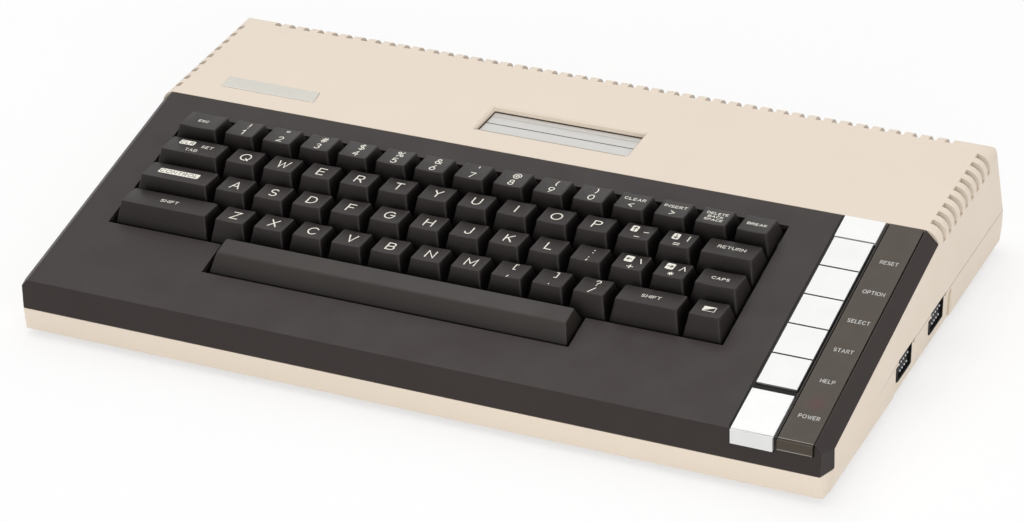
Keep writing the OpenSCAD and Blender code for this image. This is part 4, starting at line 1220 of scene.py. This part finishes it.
    def _space_profile(self) -> list[Point]:
        """Profile of the space bar across its length.

        Returns:
            The points, from the back bottom edge round the top.
        """
        front, back = -self.base / 2, self.base / 2 - self.space_back_run
        ridge_y = front + self.space_front_run + self.space_ridge * self.space_ridge_share
        profile = [(front - self.skirt_flare, -self.skirt), (front, 0.0)]
        rounds = (
            (ridge_y, self.space_ridge, [152 - 62 * i / 6 for i in range(7)]),
            (back - self.space_back_round, self.space_back_round, [90 - 75 * i / 3 for i in range(4)]),
        )
        for y, radius, turns in rounds:
            for angle in map(math.radians, turns):
                height = self.space_rise - radius + radius * math.sin(angle)
                profile.append((y + radius * math.cos(angle), height))
        profile += [(self.base / 2, 0.0), (self.base / 2 + self.skirt_flare, -self.skirt)]
        return list(reversed(profile))

    def keys(self) -> list[Key]:
        """Lists all the keys but the space bar.

        Returns:
            The keys.
        """
        rows = (
            ("number", 1, 1.25, ("!1", '"2', "#3", "$4", "%5", "&6", "'7", "@8", "(9", ")0")),
            ("upper", 2, 1.75, tuple("QWERTYUIOP")),
            ("home", 3, 2.0, tuple("ASDFGHJKL") + (":;",)),
            ("lower", 4, 2.5, tuple("ZXCVBNM") + ("[,", "].", "?/")),
        )
        caps = []
        for row_name, row, start, faces in rows:
            for i, letters in enumerate(faces):
                if len(letters) == 1:
                    legends = (Legend((letters,), height=5.3, stroke=0.6),)
                else:
                    legends = (mark(letters[0], 0.6, 3.0, 4.0), mark(letters[1], 0.2, -2.9, 4.0))
                node = f"keycaps_{row_name}_row"
                caps.append(Key(f"cap_{row_name}_{i + 1}", row, start + i, 1, legends, node, "case"))
        return caps + [self._named(*entry) for entry in self._function_keys()]

    def _named(self, node: str, row: int, start: float, units: float, *legends: Legend) -> Key:
        """A key that moves by itself."""
        return Key("cap_" + node.removeprefix("key_"), row, start, units, legends, node, node)

    def _function_keys(self) -> list[tuple]:
        """Lists the keys that move by themselves.

        Returns:
            Node, row, start, width and legends of each.
        """
        tab = (word("CLR", -5.0, 2.6, 2.1, True), word("SET", 5.8, 1.4, 2.0), word("TAB", -0.2, -3.0, 1.9))
        delete = (word("DELETE", 0, 2.7, 1.6), word("BACK", 0, 0, 1.6), word("SPACE", 0, -2.7, 1.6))
        minus = (mark("up", -2.3, 2.2, 3.3, True), mark("_", 3.6, 1.8, 3.4), mark("-", 0.8, -3.7, 4.2))
        equals = (mark("down", -2.3, 2.2, 3.3, True), mark("|", 3.6, 1.8, 3.6), mark("=", 0, -3.5, 4.4))
        plus = (mark("left", -2.0, 2.2, 3.3, True), mark("\\", 3.6, 1.6, 3.6), mark("+", 0.6, -3.6, 4.4))
        asterisk = (mark("right", -2.3, 2.4, 3.3, True), mark("^", 3.8, 1.8, 3.6), mark("*", 0, -3.1, 3.8))
        return [
            ("key_escape", 1, 0, 1.25, word("ESC", height=1.7)),
            ("key_clear", 1, 11.25, 1, word("CLEAR", 0, 2.0, 1.9), mark("<", -0.1, -2.9, 3.4)),
            ("key_insert", 1, 12.25, 1, word("INSERT", 0, 2.0, 1.9), mark(">", 0.2, -2.9, 3.4)),
            ("key_delete", 1, 13.25, 1, *delete),
            ("key_break", 1, 14.25, 1, word("BREAK", 0, 0, 1.7)),
            ("key_tab", 2, 0, 1.75, *tab),
            ("key_minus", 2, 11.75, 1, *minus),
            ("key_equals", 2, 12.75, 1, *equals),
            ("key_return", 2, 13.75, 1.5, word("RETURN", 0, 0.6, 2.0)),
            ("key_control", 3, 0, 2, word("CONTROL", -0.4, 0.2, 2.4, True)),
            ("key_plus", 3, 12, 1, *plus),
            ("key_asterisk", 3, 13, 1, *asterisk),
            ("key_caps", 3, 14, 1.25, word("CAPS", 0, 0.2, 1.9)),
            ("key_shift_left", 4, 0, 2.5, word("SHIFT", 0, 0.2, 2.0)),
            ("key_shift_right", 4, 12.5, 1.75, word("SHIFT", 0, 0.2, 2.0)),
            ("key_inverse", 4, 14.25, 1),
        ]

    def half_tone_mark(self) -> None:
        """Prints the framed mark of the inverse key, half of it filled along a diagonal."""
        maker = MeshMaker(Finish.LEGEND)
        (wide, tall), border = self.mark_half, self.mark_border
        surface, middle = self.surface(1, self.mark_row), self.top_middle(self.mark_row)

        def printed(outline: Iterable[Point], across: float = 1.0, along: float = 1.0) -> list[int]:
            """Adds points on the cap's top, drawn towards its middle by two factors."""
            lines = ((x, y * along + middle) for x, y in outline)
            return maker.ring((x * across, y, surface(x, y) + INK_LIFT) for x, y in lines)

        outer = printed(rounded_rectangle(-wide, wide, -tall, tall, 0.3, 2))
        inside, low = wide - border, tall - border
        inner = printed(rounded_rectangle(-inside, inside, -low, low, 0.15, 2))
        maker.bridge(outer, inner)
        maker.face(printed(((-wide, -tall), (wide, tall), (-wide, tall)), *self.mark_fill))
        place = self.case.deck.at(self.unit_x(self.mark_unit), self.row_y(self.mark_row))
        settle(maker.build("inverse_mark", place), Finish.KEY.slot, "key_inverse")

    def build(self) -> None:
        """Builds every cap."""
        for key in self.keys():
            self.cap(key)
        self.space_bar()
        self.half_tone_mark()


# ---- Console column ----


@dataclass
class ConsoleColumn:
    """Silver keys and plates, the smoked strip beside them, its labels and its lamp."""

    case: Case = field(default_factory=Case)
    cap_set_in: Point = (0.1, 0.13)
    cap_shift: float = -0.3
    plate_shift: float = -0.25
    strip_middle: float = 174.9
    strip_height: float = 0.3
    strip_half: float = 7.5
    strip_lip: float = 4.7
    strip_proud: float = 0.008
    glint: float = 0.4
    glint_set_in: float = 0.1
    glint_lift: float = 0.03
    # Painted shade: the black bar over the front plate and the black strip along the left of the keys stand
    # in for the shade in the gaps there
    plate_gap_shade: tuple[float, ...] = (146.45, 165.9, 24.6, 27.35)
    channel: tuple[float, ...] = (145.8, 146.7, 0.3, 137.6)
    bar_steps: tuple[Point, ...] = ((0.0, -0.5), (0.0, 0.0), (0.12, 0.06))
    label_height: float = 2.0
    label_shift: float = 0.5
    labels: tuple[tuple[str, float], ...] = (
        ("RESET", 113.2),
        ("OPTION", 93.5),
        ("SELECT", 74.7),
        ("START", 56.1),
        ("HELP", 36.8),
        ("POWER", 14.8),
    )

    def build(self) -> None:
        """Builds the column."""
        for name in ("reset", "option", "select", "start", "help"):
            cap = (f"console_{name}", Finish.SILVER, 0.3, f"silver_{name}")
            softened(*cap, 3, None, self.cap_set_in, self.cap_shift)
        softened("console_plates", Finish.SHEET, 0.3, "silver_plates", 3, None, (0.05, 0), self.plate_shift)
        # The strip's roundings take the painted highlight finish
        softened("label_strip", Finish.SMOKED, 0.4, "smoked_strip", 2, Finish.SMOKED_EDGE, (0.3, 0.02))
        dress(Finish.LAMP, "power_lamp")
        self.print_labels()
        self.strip_glints()
        self.gap_shade_bars()

    def print_labels(self) -> None:
        """Prints the function names on the strip."""
        maker = MeshMaker(Finish.LABEL)
        x = self.strip_middle + self.label_shift
        for text, place in self.labels:
            legend = Legend(tuple(text), x, place, self.label_height, stroke=0.27, stretch=0.86, gap=0.3)
            legend.draw(maker, lambda x, y: self.strip_height)
        settle(maker.build("strip_labels", self.case.deck.matrix()), Finish.LABEL.slot)

    def strip_glints(self) -> None:
        """Lays painted highlights along the strip's fold and its lip."""
        maker = MeshMaker(Finish.SMOKED_EDGE)
        left, right = self.strip_middle - self.strip_half, self.strip_middle + self.strip_half
        near = self.glint_set_in
        # Painted highlights: a light ribbon along the fold, and another near the foot of the lip
        maker.quad(left, right, near, near + self.glint, self.strip_height + self.glint_lift)
        upright = Matrix.Rotation(math.radians(-self.case.deck_tilt), 4, "X")
        front, low = self.strip_proud - self.case.deck_setback, -self.strip_lip + self.glint_set_in
        corners = ((left, low), (right, low), (right, low + self.glint), (left, low + self.glint))
        maker.face(maker.ring(tuple(upright @ Vector((x, front, z))) for x, z in corners))
        settle(maker.build("strip_glints", self.case.deck.matrix()), Finish.SMOKED_EDGE.slot)

    def gap_shade_bars(self) -> None:
        """Builds the painted shade in the gaps: a black bar over the front plate and a black strip along the
        left of the keys.
        """
        maker = MeshMaker(Finish.SHROUD)
        for x0, x1, y0, y1 in (self.plate_gap_shade, self.channel):
            rings = []
            for inset, height in self.bar_steps:
                outline = rounded_rectangle(x0 + inset, x1 - inset, y0 + inset, y1 - inset, 0.3, 3)
                rings.append(maker.ring((x, y, height) for x, y in outline))
            maker.loft(rings)
            maker.face(rings[-1])
        settle(maker.build("console_gap_shade", self.case.deck.matrix()), "dark_plastic")


# ---- Casing, slot and connectors ----


@dataclass
class Casing:
    """The shells of the case with the badge plate."""

    edge: float = 0.45
    fine_edge: float = 0.25

    def build(self) -> None:
        """Softens the shells."""
        softened("top_case", Finish.CREAM, self.edge, "cream_top")
        softened("bottom_case", Finish.CREAM, self.edge, "cream_tray")
        softened("keyboard_bezel", Finish.DARK, self.fine_edge, "dark_bezel")
        softened("badge_plate", Finish.BADGE, self.fine_edge, "bare_badge")


@dataclass
class CartridgeSlot:
    """The two sprung doors, the lining of the mouth over them and what lies under them."""

    case: Case = field(default_factory=Case)
    edge: float = 0.04
    grow: float = 0.195
    middle: Point = (0.9, 27.3)
    half_size: Point = (37.3, 10.8)
    lining_inset: float = 0.02
    lining_top: float = 0.85
    lining_corner: float = 0.5
    # Insets and heights of the rings below the lining; the band between them is the painted shadow at the
    # mouth's foot
    seam: tuple[Point, ...] = ((0.25, -2.2), (0.3, -2.66), (0.65, -2.7))
    cover_depth: float = 4.3
    # Where the painted shade line lies in front of the mouth and how wide it is, then how far it stands off
    # the top
    lip: Point = (0.95, 0.5)
    lip_lift: float = 0.04

    def build(self) -> None:
        """Lines the mouth, softens the doors and dresses the rest."""
        self.mouth_lining()
        for name in ("front", "rear"):
            door = f"cartridge_door_{name}"
            softened(door, Finish.DOOR, self.edge, f"slot_door_{name}", set_in=(0, -self.grow))
        dress(Finish.STEEL, "door_pins", "door_springs")
        dress(Finish.BLACK, "cartridge_connector")

    def mouth_lining(self) -> None:
        """Builds the pale lining of the mouth, the painted shadow band at its foot, the hinge covers and the
        painted shade line along its front lip.
        """
        maker = MeshMaker(Finish.LINING, Finish.SEAM, Finish.DOOR, Finish.LIP)
        (wide, deep), slope = self.half_size, math.tan(math.radians(self.case.top_tilt))
        rings = []
        for inset, height in ((self.lining_inset, None), *self.seam):
            sides = (inset - wide, wide - inset, inset - deep, deep - inset)
            outline = rounded_rectangle(*sides, self.lining_corner, 3)[::-1]
            if height is None:
                rings.append(maker.ring((x, y, y * slope - self.lining_top) for x, y in outline))
            else:
                rings.append(maker.ring((x, y, height) for x, y in outline))
        maker.loft(rings[:2])
        # Painted shadow: the band from the lining's foot down to the doors
        maker.loft(rings[1:], 1)
        inset, height = self.seam[-1]
        for y0, y1 in ((inset - deep, self.cover_depth - deep), (deep - self.cover_depth, deep - inset)):
            maker.quad(-(wide - inset), wide - inset, y0, y1, height, 2)
        # Painted shade: a dark line on the top along the mouth's front lip
        y1 = -deep - self.lip[0]
        y0 = y1 - self.lip[1]
        corners = ((-wide, y0), (wide, y0), (wide, y1), (-wide, y1))
        maker.face(maker.ring((x, y, y * slope + self.lip_lift) for x, y in corners), 3)
        place = self.case.top.at(*self.middle).translation
        piece = maker.build("slot_lining", Matrix.Translation(place) @ Matrix.Scale(MM, 4))
        settle(piece, Finish.LINING.slot)


@dataclass
class Connectors:
    """The sockets and switches round the case."""

    case: Case = field(default_factory=Case)
    port_places: Point = (97.4, 139.4)
    port_height: float = 11.4
    port_mouth: Point = (20.1, 11.8)
    port_inner: Point = (18.0, 9.8)
    port_taper: float = 0.1
    port_corner: float = 0.9
    port_face: float = 188.1
    port_depth: float = 1.3
    port_root: float = 183.0
    pin_pitch: float = 2.76
    pin_rows: tuple[Point, ...] = ((5, 1.3), (4, -2.3))
    pin_size: float = 1.25
    pin_nose: tuple[Point, ...] = ((0.0, 1.0), (0.7, 1.0), (0.95, 0.6))

    def build(self) -> None:
        """Builds, softens or dresses the sockets."""
        for number, place in enumerate(self.port_places, 1):
            self.port_shroud(number, place)
        softened("controller_ports", Finish.BLACK, 0.15, "controller_plugs", 1)
        dress(Finish.BLACK, "peripheral_port", "video_socket", "power_socket")
        dress(Finish.BLACK, "power_switch_frame", "channel_switch_frame")
        softened("power_rocker", Finish.BLACK, 0.3, "rocker")
        dress(Finish.WHITE, "channel_slider")
        dress(Finish.TIN, "rf_modulator")

    def d_ring(self, size: Point, grow: float, depth: float) -> list[Triple]:
        """D-shaped ring of a controller port, wider at the top, at a depth along X.

        Args:
            size: its width and its height.
            grow: what is added to both.
            depth: its place along X.

        Returns:
            The ring's points.
        """
        width, height = (v + grow for v in size)
        ring = []
        for a, b in rounded_rectangle(-width / 2, width / 2, -height / 2, height / 2, self.port_corner, 3):
            ring.append((depth, a * (1 - self.port_taper * (0.5 - b / height) * height / width * 2), b))
        return ring

    def port_shroud(self, number: int, place: float) -> None:
        """Builds the shroud of a controller port with its nine pins.

        Args:
            number: number of the port, from the front.
            place: its distance behind the front of the case.
        """
        maker = MeshMaker(Finish.SHROUD, Finish.CONTACT)
        face, floor = self.port_face, self.port_face - self.port_depth
        steps = (
            (self.port_mouth, 0.0, self.port_root),
            (self.port_mouth, 0.0, face - 0.25),
            (self.port_mouth, -0.5, face),
            (self.port_inner, 0.4, face),
            (self.port_inner, 0.0, face - 0.2),
            (self.port_inner, 0.0, floor),
        )
        rings = [maker.ring(self.d_ring(*step)) for step in steps]
        maker.loft(rings)
        maker.face(rings[-1])
        for count, z in self.pin_rows:
            for index in range(count):
                self._pin(maker, floor, (index - (count - 1) / 2) * self.pin_pitch, z)
        origin = (0, place - self.case.depth / 2, self.port_height + self.case.foot)
        settle(maker.build(f"port_shroud_{number}", Plane(origin).matrix()), Finish.BLACK.slot)

    def _pin(self, maker: MeshMaker, floor: float, y: float, z: float) -> None:
        """Adds one round-nosed pin that stands on the shroud's floor.

        Args:
            maker: the mesh of the shroud.
            floor: place of the floor along X.
            y: place of the pin along Y.
            z: its height.
        """
        angles = [math.radians(36 * i) for i in range(10)]
        rings = []
        for reach, share in self.pin_nose:
            radius = self.pin_size / 2 * share
            points = ((floor + reach, y + radius * math.cos(a), z + radius * math.sin(a)) for a in angles)
            rings.append(maker.ring(points))
        maker.loft(rings, 1)
        maker.face(rings[-1], 1)


class Inside:
    """Boards, shields, frames, feet and fasteners."""

    @staticmethod
    def build() -> None:
        """Dresses the nodes."""
        dress(Finish.BOARD, "main_board", "keyboard_circuit", "console_switches")
        dress(Finish.BLACK, "board_chips", "key_switches")
        dress(Finish.SLEEVE, "board_parts")
        dress(Finish.TIN, "upper_shield", "lower_shield")
        dress(Finish.PLATE, "switch_plate")
        dress(Finish.CABLE, "ribbon_cable")
        dress(Finish.RUBBER, "rubber_feet")
        dress(Finish.STEEL, "case_screws", "board_screws")


# ---- Studio ----


@dataclass
class Studio:
    """Floor, soft light and camera."""

    floor_size: float = 9000.0
    camera_place: Triple = (593.85, -1251.28, 796.6)
    heading: float = 25.4845
    pitch: float = -29.448
    roll: float = -2.0743
    lens: float = 125.379
    sensor: float = 36.0
    far: float = 20000.0
    sky: float = 0.52
    floor_tone: Colour = (0.985, 0.985, 0.985)
    floor_white: float = 0.6

    def build(self) -> None:
        """Builds the studio and sets the view."""
        self.floor()
        self.world()
        self.lamp("overhead", (-400, 300, 1900), (0, 20, 0), 1900, 18.0)
        self.lamp("front_fill", (1130, -1620, 800), (0, -40, 30), 1300, 16.0)
        self.camera()
        bpy.context.scene.view_settings.view_transform = "Standard"

    @staticmethod
    def seen_white(nodes: bpy.types.Nodes, links: bpy.types.NodeLinks) -> Socket:
        """Tells where the camera, a reflection or a clear piece sees the surface.

        Args:
            nodes: nodes of the material or the world.
            links: its links.

        Returns:
            The socket that is 1 for such rays and 0 for others.
        """
        path = nodes.new("ShaderNodeLightPath")
        seen = path.outputs["Is Camera Ray"]
        for ray in ("Is Glossy Ray", "Is Transmission Ray"):
            either = nodes.new("ShaderNodeMath")
            either.operation = "MAXIMUM"
            links.new(seen, either.inputs[0])
            links.new(path.outputs[ray], either.inputs[1])
            seen = either.outputs[0]
        return seen

    def floor(self) -> None:
        """Lays the pale floor."""
        half = self.floor_size / 2 * MM
        mesh = bpy.data.meshes.new("floor")
        corners = [(-half, -half, 0), (half, -half, 0), (half, half, 0), (-half, half, 0)]
        mesh.from_pydata(corners, [], [(0, 1, 2, 3)])
        sheet = NodeSheet("pale_floor")
        sheet.set(
            Base_Color=sheet.mix(sheet.cloud(400, 2), self.floor_tone, (1, 1, 1)),
            Roughness=0.9,
            Specular_IOR_Level=0.1,
        )
        glow = sheet.add("ShaderNodeEmission", Color=(1, 1, 1, 1), Strength=1.0)
        share = sheet.add("ShaderNodeMath")
        share.operation = "MULTIPLY"
        sheet.join(self.floor_white, share.inputs[1])
        sheet.join(self.seen_white(sheet.nodes, sheet.links), share.inputs[0])
        joined = sheet.add("ShaderNodeMixShader", Fac=share.outputs[0])
        sheet.join(sheet.shader.outputs[0], joined.inputs[1])
        sheet.join(glow.outputs[0], joined.inputs[2])
        sheet.join(joined.outputs[0], sheet.output.inputs["Surface"])
        mesh.materials.append(sheet.material)
        placed("floor", mesh)

    def world(self) -> None:
        """Lights the scene evenly, with white where the camera and reflections see it."""
        world = bpy.data.worlds.new("studio")
        bpy.context.scene.world = world
        world.use_nodes = True
        nodes, links = world.node_tree.nodes, world.node_tree.links
        background = nodes["Background"]
        background.inputs["Color"].default_value = (1, 1, 1, 1)
        strength = nodes.new("ShaderNodeMapRange")
        strength.inputs["To Min"].default_value = self.sky
        strength.inputs["To Max"].default_value = 1.0
        links.new(self.seen_white(nodes, links), strength.inputs["Value"])
        links.new(strength.outputs[0], background.inputs["Strength"])

    def lamp(self, name: str, place: Triple, target: Triple, size: float, power: float) -> None:
        """Hangs a square soft light.

        Args:
            name: the lamp's name.
            place: where it hangs.
            target: what it faces.
            size: its width.
            power: its power in watts.
        """
        data = bpy.data.lights.new(name, "AREA")
        data.size = size * MM
        data.energy = power
        lamp = placed(name, data)
        lamp.location = Vector(place) * MM
        lamp.rotation_euler = (Vector(target) - Vector(place)).to_track_quat("-Z", "Y").to_euler()

    def camera(self) -> None:
        """Sets the camera."""
        heading, pitch, roll = (math.radians(v) for v in (self.heading, self.pitch, self.roll))
        data = bpy.data.cameras.new("view")
        data.lens = self.lens
        data.sensor_width = self.sensor
        data.clip_end = self.far * MM
        camera = placed("view", data)
        aim = Matrix.Rotation(heading, 4, "Z") @ Matrix.Rotation(math.pi / 2 + pitch, 4, "X")
        turn = aim @ Matrix.Rotation(roll, 4, "Z")
        camera.matrix_world = Matrix.Translation(Vector(self.camera_place) * MM) @ turn
        bpy.context.scene.camera = camera


def main() -> None:
    """Loads the frame and dresses every sub-assembly in order."""
    logging.basicConfig(level=logging.INFO, format="%(message)s")
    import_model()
    case = Case()
    Studio().build()
    Casing().build()
    ConsoleColumn(case).build()
    CartridgeSlot(case).build()
    Keyboard(case).build()
    Connectors(case).build()
    Inside().build()


if __name__ == "__main__":
    main()
